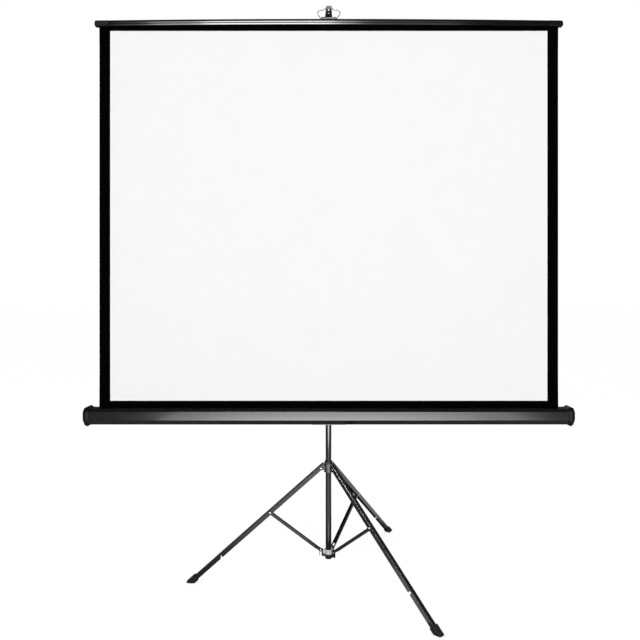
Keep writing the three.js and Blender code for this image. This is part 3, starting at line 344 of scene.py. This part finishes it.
def crease_tree():
    tree = bpy.data.node_groups.new("smooth to creases", "GeometryNodeTree")
    tree.interface.new_socket("Geometry", in_out="INPUT", socket_type="NodeSocketGeometry")
    crease = tree.interface.new_socket("Crease", in_out="INPUT", socket_type="NodeSocketFloat")
    crease.default_value = CREASE_ANGLE
    tree.interface.new_socket("Geometry", in_out="OUTPUT", socket_type="NodeSocketGeometry")
    g = Graph(tree)
    given = g.node("NodeGroupInput")
    angle = g.node("GeometryNodeInputMeshEdgeAngle")
    faces = g.node(
        "GeometryNodeSetShadeSmooth", {"domain": "FACE"}, {0: given, "Shade Smooth": True}
    )
    sharp = g.node(
        "GeometryNodeSetShadeSmooth",
        {"domain": "EDGE"},
        {0: faces, 1: angle > given.output("Crease"), 2: False},
    )
    g.node("NodeGroupOutput", None, {0: sharp})
    return tree


creases = crease_tree()


def shade_to_creases(piece):
    smooth = piece.modifiers.new("smooth", "NODES")
    smooth.node_group = creases
    weighted = piece.modifiers.new("large faces lead", "WEIGHTED_NORMAL")
    weighted.keep_sharp = True


# %% Edges and paint
WELD_GAP = 0.000005
BEVEL_ANGLE = math.radians(38)


def soften(piece, edge):
    """Gives a CAD piece's sharp edges a small radius."""
    weld = piece.modifiers.new("weld", "WELD")
    weld.merge_threshold = WELD_GAP
    bevel = piece.modifiers.new("edge radius", "BEVEL")
    bevel.width = edge
    bevel.segments = 2
    bevel.limit_method = "ANGLE"
    bevel.angle_limit = BEVEL_ANGLE
    bevel.use_clamp_overlap = True
    shade_to_creases(piece)


def paint(piece, finish):
    piece.data.materials.clear()
    piece.data.materials.append(finish)


# %% Give every CAD piece its edges and finish
PLAIN_EDGE = 0.0003  # edge radius in metres, where the list below gives none
EDGES = {  # edge radius in metres, by the start of the piece's name
    "end_cap": 0.0014,
    "foot": 0.0012,
    "rail_cap": 0.0012,
    "mast_hook": 0.0006,
    "bail_clamp": 0.0006,
    "clamp_knob": 0.0012,
    "carriage": 0.0012,
    "leg_collar": 0.0010,
    "lower_hub": 0.0010,
    "column_cap": 0.0008,
    "leg": 0.0004,
    "strut": 0.0003,
    "saddle": 0.0005,
}
REBUILT = {"housing", "top_rail", "bail_wire", "screen_backing", "viewing_surface"}
RIVETS = ("leg_pivot", "strut_rivet", "hub_rivet")
HUB_SHADE_LINE = 0.084  # the hub is pale above this height and has painted shade, black, below it
slots = {row["node"]: row["material_slot"] for row in frame["record"]["subparts"]}
satin = enamel("satin black leg", base=0.007, gloss=0.36)
own_finish = {
    "lower_hub": hammered("grey hub", 0.60, 0.76, metal=0.3, painted_shade_below=HUB_SHADE_LINE),
    "carriage": hammered("cast carriage", 0.03, 0.05),
    "bail_clamp": enamel("bail clamp black", gloss=0.36),
    "mast_hook": enamel("hook black", base=0.003, gloss=0.5),
    **{f"leg_{side}": satin for side in SIDES},
    **{f"strut_{side}": satin for side in SIDES},
}
for name, piece in nodes.items():
    paint(piece, own_finish.get(name, finishes[slots[name]]))
    if name not in REBUILT and not name.startswith(RIVETS):
        starts = [start for start in EDGES if name.startswith(start)]
        soften(piece, EDGES[max(starts, key=len)] if starts else PLAIN_EDGE)
print("dressed", len(nodes))

# %% [markdown]
# ## Building helpers
# The rebuilt pieces are meshes whose place is in their points, like the CAD solids. A section
# is drawn once as corners with radii, and swept or extruded from there.

# %% Outlines with rounded corners
NEARLY_STRAIGHT = 0.001  # in radians; a corner this near to straight keeps its point
CORNER_STEPS = 6


def rounded(corners):
    """Points of a closed outline whose corners are (a, b, radius)."""
    points = []
    for i, (a, b, radius) in enumerate(corners):
        at = Vector((a, b))
        back = (Vector(corners[i - 1][:2]) - at).normalized()
        ahead = (Vector(corners[(i + 1) % len(corners)][:2]) - at).normalized()
        half = back.angle(ahead) / 2
        if radius == 0 or half > math.pi / 2 - NEARLY_STRAIGHT:
            points.append(at)
            continue
        centre = at + (back + ahead).normalized() * (radius / math.sin(half))
        start = at + back * (radius / math.tan(half)) - centre
        end = at + ahead * (radius / math.tan(half)) - centre
        turn = math.atan2(start.x * end.y - start.y * end.x, start.dot(end))
        for k in range(CORNER_STEPS + 1):
            points.append(centre + Matrix.Rotation(turn * k / CORNER_STEPS, 2) @ start)
    return points


# %% Pieces and plain objects
def new_object(name, mesh):
    made = bpy.data.objects.new(name, mesh)
    bpy.context.scene.collection.objects.link(made)
    return made


def new_piece(name, body, slot, mesh, stands_for):
    """A finished mesh becomes a piece that rides on a body and stands for a CAD node."""
    piece = new_object(name, mesh)
    paint(piece, finishes[slot])
    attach(piece, body)
    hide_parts(stands_for)
    return piece


def mesh_from(bm, name):
    mesh = bpy.data.meshes.new(name)
    bm.to_mesh(mesh)
    bm.free()
    return mesh


# %% A prism from an outline
def prism_mesh(name, points, stations, place):
    """Closed outlines set at stations along a length; place(a, b, s) gives a point."""
    bm = bmesh.new()
    rings = [[bm.verts.new(place(a, b, s)) for a, b in points] for s in stations]
    count = len(points)
    for ring, following in zip(rings, rings[1:]):
        for i in range(count):
            j = (i + 1) % count
            bm.faces.new((ring[i], ring[j], following[j], following[i]))
    bm.faces.new(rings[0][::-1])
    bm.faces.new(rings[-1])
    bmesh.ops.recalc_face_normals(bm, faces=bm.faces)
    return mesh_from(bm, name)


# %% [markdown]
# ## The case housing
# The real housing is one strip of steel sheet, rolled into an eight-sided trough with a gap
# along its top for the cloth. A modifier could thicken a plain strip, but one closed outline
# that holds both sides of the sheet gives clean lips and even bends with a single extrusion.
# So the outer side is drawn from one lip of the gap right round to the other, with a bend
# radius at each corner, and the inner side comes back one sheet's thickness further in.

# %% The housing's outline
SHEET = 0.0012
BEND = 0.0022
GAP = 0.0060  # for the cloth, along the top
SHOULDER = 0.0090  # how far the upper slopes reach in and down
CHIN_IN, CHIN_UP = 0.0130, 0.0168  # how far the lower slopes reach in and up
CASE_LOW, CASE_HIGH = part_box("housing")
FRONT, BACK = CASE_LOW.y, CASE_HIGH.y
FOOT, TOP = CASE_LOW.z, CASE_HIGH.z
SECTION = [  # y and z of the outer corners, from the gap's front lip to its rear lip
    (CLOTH_Y - GAP / 2, TOP),
    (FRONT + SHOULDER, TOP),
    (FRONT, TOP - SHOULDER),
    (FRONT, FOOT + CHIN_UP),
    (FRONT + CHIN_IN, FOOT),
    (BACK - CHIN_IN, FOOT),
    (BACK, FOOT + CHIN_UP),
    (BACK, TOP - SHOULDER),
    (BACK - SHOULDER, TOP),
    (CLOTH_Y + GAP / 2, TOP),
]
print("housing from", list(CASE_LOW), "to", list(CASE_HIGH))


# %% Roll the sheet
def bent(points, radius):
    """An open line of points with a radius at each of its inner corners."""
    drawn = [points[0]]
    for before, at, after in zip(points, points[1:], points[2:]):
        drawn += rounded([(*before, 0), (*at, radius), (*after, 0)])[1:-1]
    return drawn + [points[-1]]


def sheet_loop(section, bend, thickness):
    """The closed outline of a bent strip: its outer side and back along its inner side."""
    outer = [Vector(p) for p in section]
    inner = []
    for i, at in enumerate(outer):
        before = (at - outer[i - 1]).normalized() if i else None
        after = (outer[i + 1] - at).normalized() if i < len(outer) - 1 else None
        before = before or after
        after = after or before
        normal = Vector((-before.y, before.x)) + Vector((-after.y, after.x))
        normal.normalize()
        cosine = normal.dot(Vector((-before.y, before.x)))
        inner.append(at + normal * thickness / cosine)
    return bent(outer, bend) + bent(inner, bend - thickness)[::-1]


# %% Make the housing
HOUSING_SPANS = 12
HOUSING_HALF = CASE_HIGH.x
loop = sheet_loop(SECTION, BEND, SHEET)
case_mesh = prism_mesh(
    "case_shell",
    loop,
    [-HOUSING_HALF + 2 * HOUSING_HALF * k / HOUSING_SPANS for k in range(HOUSING_SPANS + 1)],
    lambda y, z, x: (x, y, z),
)
case_shell = new_piece("case_shell", "case", "black_enamel", case_mesh, "housing")
shade_to_creases(case_shell)
print("housing outline points", len(loop))

# %% [markdown]
# ## Geometry Nodes for the rebuilt pieces
# The rail, the bail and the rivets are all made in Geometry Nodes. Their trees begin alike, with
# a shape to work on, named sizes and a finish, and end alike, with real geometry in that finish,
# so two short functions hold what they share.

# %% How such a tree begins and ends
def begin_tree(name, takes, *sizes):
    """A tree that takes some geometry, named sizes and a finish."""
    tree = bpy.data.node_groups.new(name, "GeometryNodeTree")
    socket = tree.interface.new_socket
    socket(takes, in_out="INPUT", socket_type="NodeSocketGeometry")
    inputs = {size: socket(size, in_out="INPUT", socket_type="NodeSocketFloat") for size in sizes}
    inputs["Finish"] = socket("Finish", in_out="INPUT", socket_type="NodeSocketMaterial")
    socket("Mesh", in_out="OUTPUT", socket_type="NodeSocketGeometry")
    g = Graph(tree)
    return g, g.node("NodeGroupInput"), inputs


def end_tree(g, given, shape, smooth=False):
    real = g.node("GeometryNodeRealizeInstances", None, {0: shape})
    if smooth:
        real = g.node("GeometryNodeSetShadeSmooth", {"domain": "FACE"}, {0: real})
    done = g.node("GeometryNodeSetMaterial", None, {0: real, "Material": given.output("Finish")})
    g.node("NodeGroupOutput", None, {0: done})
    return g.tree


# %% From an object with a tree to a plain mesh
def baked(source, tree, inputs, values):
    """What the tree makes of the object, as a mesh; the object itself is removed."""
    modifier = source.modifiers.new("nodes", "NODES")
    modifier.node_group = tree
    for name, value in values.items():
        modifier[inputs[name].identifier] = value
    bpy.context.view_layer.update()
    graph = bpy.context.evaluated_depsgraph_get()
    mesh = bpy.data.meshes.new_from_object(source.evaluated_get(graph))
    mesh.name = source.name
    bpy.data.objects.remove(source)
    return mesh


def line_object(name, points, edges):
    """An object of edges alone, as the path or section that a tree reads."""
    mesh = bpy.data.meshes.new(name)
    mesh.from_pydata(points, edges, [])
    return new_object(name, mesh)


# %% [markdown]
# ## The top rail
# The rail is an extrusion with two flat bands along its front and a V groove between them, and
# the cloth's pull bows it. A path that follows the bow, and a section swept along it in
# Geometry Nodes, keep the bands' highlights unbroken from end to end.

# %% The rail's sizes and its bow
RAIL_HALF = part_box("rail_cap_right")[1].x
RAIL_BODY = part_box("top_rail")[1].x
RAIL_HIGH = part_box("top_rail")[1].z
RAIL_DEEP, RAIL_TALL = 0.0080, 0.0100  # from the rail's middle to its faces
RAIL_LOW = RAIL_HIGH - 2 * RAIL_TALL
RAIL_MIDDLE = (RAIL_LOW + RAIL_HIGH) / 2
RAIL_BOW = (RAIL_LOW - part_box("top_rail")[0].z) * (RAIL_HALF / RAIL_BODY) ** 2


def rail_drop(x):
    """How far the bow lowers the rail at x."""
    return RAIL_BOW * (x / RAIL_HALF) ** 2


print("rail bow", RAIL_BOW)


# %% A section swept along a bowed line
RAIL_STATIONS = 65


def sweep_tree():
    g, given, inputs = begin_tree("bowed sweep", "Section", "Half Length", "Bow", "Bow Half")
    half = given.output("Half Length")
    start = g.node("ShaderNodeCombineXYZ", None, {0: 0 - half})
    end = g.node("ShaderNodeCombineXYZ", None, {0: half})
    line = g.node(
        "GeometryNodeMeshLine",
        {"mode": "END_POINTS"},
        {"Count": RAIL_STATIONS, "Start Location": start, "Offset": end},
    )
    place = g.node("GeometryNodeInputPosition")
    x = g.node("ShaderNodeSeparateXYZ", None, {0: place}).output("X")
    share = x / given.output("Bow Half")
    drop = g.node("ShaderNodeCombineXYZ", None, {2: 0 - share * share * given.output("Bow")})
    bowed = g.node("GeometryNodeSetPosition", None, {0: line, "Offset": drop})
    path = g.node("GeometryNodeMeshToCurve", None, {0: bowed})
    upright = g.node("GeometryNodeSetCurveNormal", {"mode": "Z_UP"}, {0: path})
    section = g.node("GeometryNodeMeshToCurve", None, {0: given.output("Section")})
    swept = g.node("GeometryNodeCurveToMesh", None, {0: upright, 1: section, "Fill Caps": True})
    return end_tree(g, given, swept), inputs


# %% The rail's section
RAIL_BACK_R, CRISP_R, TIGHT_R = 0.003, 0.0004, 0.0003
LIP = 0.0005  # the small chamfer at the front's lower edge
GROOVE_LOW, GROOVE_MIDDLE, GROOVE_HIGH = -0.0047, -0.0031, -0.0015
GROOVE_DEEP = 0.0026
BAND_TOP, BAND_TOP_R = 0.0021, 0.0016  # the upper band ends here, and the front slopes back
TOP_IN, TOP_R = 0.0028, 0.0008  # the front's upper edge lies this far behind the bands
section = rounded(
    [  # y, z and radius from the rail's middle: back, lower band, groove, upper band, back
        (RAIL_DEEP, -RAIL_TALL, RAIL_BACK_R),
        (-RAIL_DEEP + LIP, -RAIL_TALL, TIGHT_R),
        (-RAIL_DEEP, -RAIL_TALL + LIP, CRISP_R),
        (-RAIL_DEEP, GROOVE_LOW, CRISP_R),
        (-RAIL_DEEP + GROOVE_DEEP, GROOVE_MIDDLE, TIGHT_R),
        (-RAIL_DEEP, GROOVE_HIGH, CRISP_R),
        (-RAIL_DEEP, BAND_TOP, BAND_TOP_R),
        (-RAIL_DEEP + TOP_IN, RAIL_TALL, TOP_R),
        (RAIL_DEEP, RAIL_TALL, RAIL_BACK_R),
    ]
)
print("rail section points", len(section))

# %% Sweep the rail
corners = [(-y, -z, 0) for y, z in reversed(section)]
count = len(corners)
rail_source = line_object("rail_body", corners, [(i, (i + 1) % count) for i in range(count)])
rail_sizes = {
    "Half Length": RAIL_BODY,
    "Bow": RAIL_BOW,
    "Bow Half": RAIL_HALF,
    "Finish": finishes["black_enamel"],
}
rail_mesh = baked(rail_source, *sweep_tree(), rail_sizes)
rail_mesh.transform(Matrix.Translation((0, CLOTH_Y, RAIL_MIDDLE)))
rail_body = new_piece("rail_body", "rail", "black_enamel", rail_mesh, "top_rail")
shade_to_creases(rail_body)
for reach, name in ((min, "lowest"), (max, "highest")):
    print("rail", name, [round(reach(v.co[k] for v in rail_mesh.vertices), 5) for k in range(3)])

# %% [markdown]
# ## The bail
# The bail is one length of round wire, bent into a loop whose two ends turn in the clamp on
# the rail. It is a path with a small round section, so the same idea as the rail makes it.

# %% A wire along a path
WIRE_SIDES = 16


def wire_tree():
    g, given, inputs = begin_tree("wire on a path", "Path", "Radius")
    path = g.node("GeometryNodeMeshToCurve", None, {0: given})
    ring = g.node(
        "GeometryNodeCurvePrimitiveCircle",
        {"mode": "RADIUS"},
        {"Resolution": WIRE_SIDES, "Radius": given.output("Radius")},
    )
    swept = g.node("GeometryNodeCurveToMesh", None, {0: path, 1: ring, "Fill Caps": True})
    return end_tree(g, given, swept), inputs


# %% A smooth path
def smooth_path(points, steps):
    """A centripetal curve through the points."""
    points = [Vector(p) for p in points]
    points = [2 * points[0] - points[1], *points, 2 * points[-1] - points[-2]]
    path = []
    for p0, p1, p2, p3 in zip(points, points[1:], points[2:], points[3:]):
        t0, t1 = 0.0, (p1 - p0).length ** 0.5
        t2 = t1 + (p2 - p1).length ** 0.5
        t3 = t2 + (p3 - p2).length ** 0.5
        for k in range(steps):
            t = t1 + (t2 - t1) * k / steps
            a1 = p0.lerp(p1, (t - t0) / (t1 - t0))
            a2 = p1.lerp(p2, (t - t1) / (t2 - t1))
            a3 = p2.lerp(p3, (t - t2) / (t3 - t2))
            b1 = a1.lerp(a2, (t - t0) / (t2 - t0))
            b2 = a2.lerp(a3, (t - t1) / (t3 - t1))
            path.append(b1.lerp(b2, (t - t1) / (t2 - t1)))
    return path + [points[-2]]


# %% Bend the wire
WIRE_R = 0.0015
WIRE_STEPS = 8  # between two points of the path
PIN_Z = joints["bail_swing"]["pos_m"][2]
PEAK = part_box("bail_wire")[1].z - WIRE_R - PIN_Z
BAIL = [  # x and z from the middle of the hinge, one half of the loop
    (0.0115, 0.0),
    (0.0250, 0.0),
    (0.0275, 0.0),
    (0.0310, 0.0035),
    (0.0396, 0.0200),
    (0.0324, 0.0270),
    (0.0170, 0.0294),
    (0.0110, PEAK),
]
loop_points = [(-x, CLOTH_Y, PIN_Z + z) for x, z in BAIL]
loop_points += [(x, CLOTH_Y, PIN_Z + z) for x, z in reversed(BAIL)]
path = smooth_path(loop_points, WIRE_STEPS)
bail_source = line_object("bail_loop", path, [(i, i + 1) for i in range(len(path) - 1)])
bail_sizes = {"Radius": WIRE_R, "Finish": finishes["bright_steel"]}
bail_mesh = baked(bail_source, *wire_tree(), bail_sizes)
bail_mesh.shade_smooth()
bail = new_piece("bail_loop", "bail", "bright_steel", bail_mesh, "bail_wire")
paint(bail, bright_steel("bail wire", base=0.30, rough=0.42))
print("bail", len(bail_mesh.vertices))

# %% [markdown]
# ## Rivets
# Nine tubular rivets join the legs and struts. Each has a rolled rim round a shallow middle on
# both ends. One head is modelled from a ring and a flattened dome, and Geometry Nodes set it
# on both ends of a shank, with the span as a named input.

# %% One rivet head
BEAD_SHARE = 0.34  # the rolled rim's own radius, as a share of the head's
DOME_SHARE = 0.7  # the dome's radius, as a share of the head's
DOME_FLAT = 0.34  # the dome's height, as a share of its radius


def circle(g, resolution, radius):
    sockets = {"Resolution": resolution, "Radius": radius}
    return g.node("GeometryNodeCurvePrimitiveCircle", {"mode": "RADIUS"}, sockets)


def joined(g, *parts):
    join = g.node("GeometryNodeJoinGeometry")
    for part in parts:
        g.tree.links.new(part.socket, join.node.inputs[0])
    return join


def rivet_head(g, radius):
    rim = circle(g, 28, radius * (1 - BEAD_SHARE))
    bead = circle(g, 10, radius * BEAD_SHARE)
    ring = g.node("GeometryNodeCurveToMesh", None, {0: rim, 1: bead})
    sockets = {"Segments": 24, "Rings": 10, "Radius": radius * DOME_SHARE}
    dome = g.node("GeometryNodeMeshUVSphere", None, sockets)
    flat = g.node("GeometryNodeTransform", None, {0: dome, "Scale": (1, 1, DOME_FLAT)})
    return joined(g, ring, flat)


# %% A head on both ends of a shank
def rivet_tree():
    g, given, inputs = begin_tree(
        "tubular rivet", "Geometry", "Half Span", "Head Radius", "Shank Radius"
    )
    span = given.output("Half Span")
    ends = g.node(
        "GeometryNodeMeshLine",
        {"mode": "END_POINTS"},
        {
            "Count": 2,
            "Start Location": g.node("ShaderNodeCombineXYZ", None, {2: 0 - span}),
            "Offset": g.node("ShaderNodeCombineXYZ", None, {2: span}),
        },
    )
    top = rivet_head(g, given.output("Head Radius"))
    heads = g.node("GeometryNodeInstanceOnPoints", None, {"Points": ends, "Instance": top})
    shank = g.node(
        "GeometryNodeMeshCylinder",
        None,
        {"Vertices": 20, "Radius": given.output("Shank Radius"), "Depth": span * 2},
    )
    return end_tree(g, given, joined(g, heads, shank), smooth=True), inputs


# %% Set the nine rivets
LEG_SPAN, STRUT_SPAN = 0.0085, 0.0067  # half of a rivet's length between its heads
HEAD_R, SHANK_R = 0.0036, 0.0022
tubular_rivet = rivet_tree()


def rivet_at(name, side, body, span, stands_for):
    """Lays one rivet along its joint's axis, at the middle of the CAD rivet."""
    source = new_object(name, bpy.data.meshes.new(name))
    sizes = {"Half Span": span, "Head Radius": HEAD_R, "Shank Radius": SHANK_R}
    mesh = baked(source, *tubular_rivet, {**sizes, "Finish": finishes["bright_steel"]})
    axis = Vector(joints[f"{side}_leg_hinge"]["axis"])
    low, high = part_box(stands_for)
    turn = axis.to_track_quat("Z", "Y").to_matrix().to_4x4()
    mesh.transform(Matrix.Translation((low + high) / 2) @ turn)
    new_piece(name, body, "bright_steel", mesh, stands_for)


for side in SIDES:
    rivet_at(f"pivot_head_{side}", side, "collar", LEG_SPAN, f"leg_pivot_{side}")
    rivet_at(f"strut_head_{side}", side, f"{side}_leg", LEG_SPAN, f"strut_rivet_{side}")
    rivet_at(f"hub_head_{side}", side, f"{side}_strut", STRUT_SPAN, f"hub_rivet_{side}")
print("rivets", 3 * len(SIDES))

# %% [markdown]
# ## The screen cloth
# The cloth is a black, coated backing with a matte white surface laid on it. It hangs almost
# flat between the rail and the case, but it is cloth: a faint ripple runs over it between its
# held edges, and its two free edges curl back a little. Both sheets are grids whose points
# follow the same gentle shape, and a Solidify gives each its thickness.

# %% The shape the cloth hangs in
CLOTH_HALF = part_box("screen_backing")[1].x
CLOTH_LOW, CLOTH_TOP = (corner.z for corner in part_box("screen_backing"))
CURL_WIDTH, CURL_DEPTH = 0.011, 0.0022
RIPPLE_DEPTH = 0.0006
RIPPLE_ACROSS, RIPPLE_UP, RIPPLE_START = 7.3, 2.1, 1.1  # radians in a metre, and at x = 0


def cloth_depth(x, z):
    """How far the cloth stands behind its flat plane."""
    up = (z - CLOTH_LOW) / (CLOTH_TOP - CLOTH_LOW)
    belly = math.sin(math.pi * up)
    waves = math.sin(x * RIPPLE_ACROSS + RIPPLE_START) * math.cos(z * RIPPLE_UP)
    ripple = RIPPLE_DEPTH * belly * waves
    edge = max(0.0, (abs(x) - (CLOTH_HALF - CURL_WIDTH)) / CURL_WIDTH)
    curl = CURL_DEPTH * edge**2 * min(1.0, belly * 4)
    return ripple + curl


print("cloth hangs from", CLOTH_TOP, "to", CLOTH_LOW)


# %% A grid in that shape
ACROSS, UP, IN_CURL = 96, 60, 6  # faces across the cloth, up it, and across one curled edge


def cloth_mesh(name, half, low, high, lift, bow):
    """A grid in the screen's plane with a UV map in metres."""
    xs = [-half + 2 * half * k / ACROSS for k in range(ACROSS + 1)]
    fine = [-half + CURL_WIDTH * k / IN_CURL for k in range(IN_CURL)]
    xs = sorted(set(xs + fine + [-x for x in fine]))
    zs = [low + (high - low) * k / UP for k in range(UP + 1)]
    bm = bmesh.new()
    uv = bm.loops.layers.uv.new("metres")
    rows = []
    for z in zs:
        row = []
        for x in xs:
            sag = bow * rail_drop(x) * (z - low) / (high - low)
            row.append(bm.verts.new((x, CLOTH_Y + lift + cloth_depth(x, z), z - sag)))
        rows.append(row)
    for lower, upper in zip(rows, rows[1:]):
        for i in range(len(xs) - 1):
            face = bm.faces.new((lower[i], lower[i + 1], upper[i + 1], upper[i]))
            face.smooth = True
            for corner in face.loops:
                corner[uv].uv = (corner.vert.co.x, corner.vert.co.z)
    return mesh_from(bm, name)


# %% Hang the two sheets
def hang(name, slot, mesh, thickness, node, flat):
    sheet = new_piece(name, "case", slot, mesh, node)
    solid = sheet.modifiers.new("thickness", "SOLIDIFY")
    solid.thickness = thickness
    solid.offset = -1.0
    shade_to_creases(sheet)  # or the cut edge would bend the light on the last row of faces
    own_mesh(sheet)
    print(name, [round(size, 4) for size in flat])


BACKING_THICK, WHITE_THICK = 0.0006, 0.0003
WHITE_LIFT = -0.0004  # the white stands this far in front of the backing
WHITE_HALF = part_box("viewing_surface")[1].x
WHITE_LOW, WHITE_HIGH = (corner.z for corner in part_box("viewing_surface"))
hang(
    "backing_cloth",
    "black_backing",
    cloth_mesh("backing_cloth", CLOTH_HALF, CLOTH_LOW, CLOTH_TOP, lift=0.0, bow=1),
    BACKING_THICK,
    "screen_backing",
    (2 * CLOTH_HALF, CLOTH_TOP - CLOTH_LOW),
)
hang(
    "white_surface",
    "matte_white",
    cloth_mesh("white_surface", WHITE_HALF, WHITE_LOW, WHITE_HIGH, lift=WHITE_LIFT, bow=0),
    WHITE_THICK,
    "viewing_surface",
    (2 * WHITE_HALF, WHITE_HIGH - WHITE_LOW),
)

# %% [markdown]
# ## Light
# The photograph is a studio shot on white. Its reflections show what stood in front of the gloss:
# the rail mirrors a soft box high up, and the case, the column and the legs mirror a pool of
# light on the floor that fades towards its edges. Lamps for those are seen by gloss alone and
# are slightly cool, as those highlights are, while broad even fill, seen by colour alone, keeps
# the white cloth the same all over. One soft box has a grid, which narrows its beam to the
# legs: it draws the bright line along the front leg's fold and doesn't show in case or rail.

# %% A soft box
COOL, NEUTRAL = (0.94, 0.975, 1.0), (1, 1, 1)


def area_light(name, at, aim, size, radiance, shape="RECTANGLE", seen_by="both", grid=None):
    """A lamp of the given radiance; seen_by is both, gloss or colour, and grid is in degrees."""
    width, height = size
    light = bpy.data.lights.new(name, "AREA")
    light.shape = shape
    area = width * height * (math.pi / 4 if shape == "ELLIPSE" else 1)
    light.size, light.size_y, light.energy = width, height, radiance * math.pi * area
    light.color = COOL if seen_by == "gloss" else NEUTRAL
    if grid:  # a narrower beam would be brighter in its middle at the same energy
        half = math.radians(grid) / 2
        light.spread = 2 * half
        light.energy *= (math.tan(half) - half) / math.tan(half)
    lamp = new_object(name, light)
    lamp.location = at
    lamp.rotation_euler = (Vector(aim) - Vector(at)).to_track_quat("-Z", "Y").to_euler()
    lamp.visible_diffuse = seen_by != "gloss"
    lamp.visible_glossy = seen_by != "colour"


# %% The pool of light on the floor
POOL = [  # x, y, width, depth and radiance: two beside the tripod, then those in front of it
    (0.90, 0.82, 1.6, 1.2, 1.1),
    (0.00, -0.40, 0.26, 0.18, 1.6),
    (0.00, -0.92, 1.7, 1.3, 1.2),
    (0.20, -2.65, 3.5, 2.6, 0.45),
    (0.20, -2.70, 3.0, 2.3, 1.2),
    (0.16, -2.65, 2.8, 1.9, 2.0),
    (0.14, -2.50, 2.1, 1.3, 1.2),
    (0.10, -2.32, 1.9, 1.0, 1.7),
    (-0.06, -2.05, 2.3, 0.90, 7.2),
]
POOL_LOW, POOL_STEP = 0.02, 0.004  # the first lamp's height, and each next one's above it
ABOVE, ASIDE = 9, 0.001  # the lamps look up, a hair off the vertical so that they can be turned
for step, (x, y, width, depth, radiance) in enumerate(POOL):
    at = (x, y, POOL_LOW + POOL_STEP * step)
    aim = (x, y + ASIDE, ABOVE)
    area_light(f"pool {step}", at, aim, (width, depth), radiance, "ELLIPSE", "gloss")
print("floor lamps", len(POOL))

# %% The soft boxes and the fill
RAIL_BOX = [(-0.475, 1.15, 14.0), (-0.60, 1.8, 6.0), (-0.30, 3.0, 0.9)]  # x, width and radiance
RAIL_BOX_TALL = 0.75
RAIL_BOX_Y, RAIL_BOX_Z, RAIL_BOX_STEP = -3.2, 3.36, 0.01  # each stands a step behind the last
RAIL_AIM = 1.97  # the rail's height
for step, (x, width, radiance) in enumerate(RAIL_BOX):
    at = (x, RAIL_BOX_Y - RAIL_BOX_STEP * step, RAIL_BOX_Z)
    size = (width, RAIL_BOX_TALL)
    area_light(f"rail soft box {step}", at, (x, 0, RAIL_AIM), size, radiance, seen_by="gloss")
BOXES = [  # name, place, aim, width and height, radiance, what sees it, and its grid
    ("leg soft box", (-1.55, -2.61, 3.0), (0.1, -0.13, 0.27), (0.7, 0.7), 190.0, "gloss", 11),
    ("front fill", (0, -5.5, 1.5), (0, 0, 1.1), (5.0, 2.6), 4.4, "colour", None),
    ("rear soft box", (1.5, 2.8, 2.4), (0, 0, 1.0), (1.2, 1.2), 3.0, "both", None),
]
for name, at, aim, size, radiance, seen_by, grid in BOXES:
    area_light(name, at, aim, size, radiance, seen_by=seen_by, grid=grid)
print("soft boxes", len(RAIL_BOX) + len(BOXES))

# %% [markdown]
# ## World and floor
# Behind the object all is white, and white light falls on it from all round. What its gloss
# mirrors is dark, though, apart from the lamps, because the black pieces of the real screen
# mirror a dark studio. Light Path tells the three apart. The floor glows for the camera alone
# and is plain grey to everything else, so that it is white without lighting the object.

# %% The world
WORLD_LIGHT, WORLD_SEEN, WORLD_MIRRORED = 0.7, 1.0, 0.06
world = bpy.data.worlds.new("studio")
world.use_nodes = True
bpy.context.scene.world = world
g = Graph(world.node_tree)


def sky(graph, strength):
    return graph.node("ShaderNodeBackground", None, {0: grey(1.0), 1: strength})


def either(graph, factor, off, on):
    return graph.node("ShaderNodeMixShader", None, {0: factor, 1: off, 2: on})


ray = g.node("ShaderNodeLightPath")
unseen = either(g, ray.output("Is Glossy Ray"), sky(g, WORLD_LIGHT), sky(g, WORLD_MIRRORED))
studio = either(g, ray.output("Is Camera Ray"), unseen, sky(g, WORLD_SEEN))
g.node("ShaderNodeOutputWorld", None, {0: studio})
print("world", WORLD_LIGHT, WORLD_SEEN, WORLD_MIRRORED)

# %% The floor
FLOOR_HALF = 30.0
FLOOR_GREY, FLOOR_GLOW = 0.3, 0.78
floor_corners = [(-1, -1), (1, -1), (1, 1), (-1, 1)]
floor_mesh = bpy.data.meshes.new("floor")
floor_mesh.from_pydata(
    [(FLOOR_HALF * x, FLOOR_HALF * y, 0) for x, y in floor_corners], [], [(0, 1, 2, 3)]
)
floor = new_object("floor", floor_mesh)
f = Finish("floor")
paper = f.node("ShaderNodeBsdfDiffuse", None, {0: grey(FLOOR_GREY)})
glow = f.node("ShaderNodeEmission", None, {0: grey(1.0), 1: FLOOR_GLOW})
shown = f.node("ShaderNodeAddShader", None, {0: paper, 1: glow})
ray = f.node("ShaderNodeLightPath")
surface = either(f, ray.output("Is Camera Ray"), paper, shown)
f.node("ShaderNodeOutputMaterial", None, {"Surface": surface})
paint(floor, f.material)
print("floor", 2 * FLOOR_HALF)

# %% [markdown]
# ## The camera
# The photograph was taken level, since its uprights don't lean together. So the camera isn't
# tilted down to bring the feet into the frame, which would make them lean: its lens is shifted.

# %% The camera, level and about a metre up
FRAME_PX = 640
FOCAL_PX = 602.2  # the lens, in pixels of the frame
HORIZON_PX = 289.4  # the row of the frame that is level with the camera
SENSOR_MM = 36.0
CAMERA_X, CAMERA_AHEAD, CAMERA_HIGH = -0.0307, 2.176, 1.0388
lens = bpy.data.cameras.new("camera")
lens.sensor_width = SENSOR_MM
lens.lens = FOCAL_PX / FRAME_PX * SENSOR_MM
lens.shift_y = -(FRAME_PX / 2 - HORIZON_PX) / FRAME_PX
camera = new_object("camera", lens)
camera.location = (CAMERA_X, COLUMN_Y - CAMERA_AHEAD, CAMERA_HIGH)
camera.rotation_euler = (math.radians(90), 0, 0)
bpy.context.scene.camera = camera
bpy.context.scene.view_settings.view_transform = "Standard"
print("camera", list(camera.location), "lens", round(lens.lens, 2))
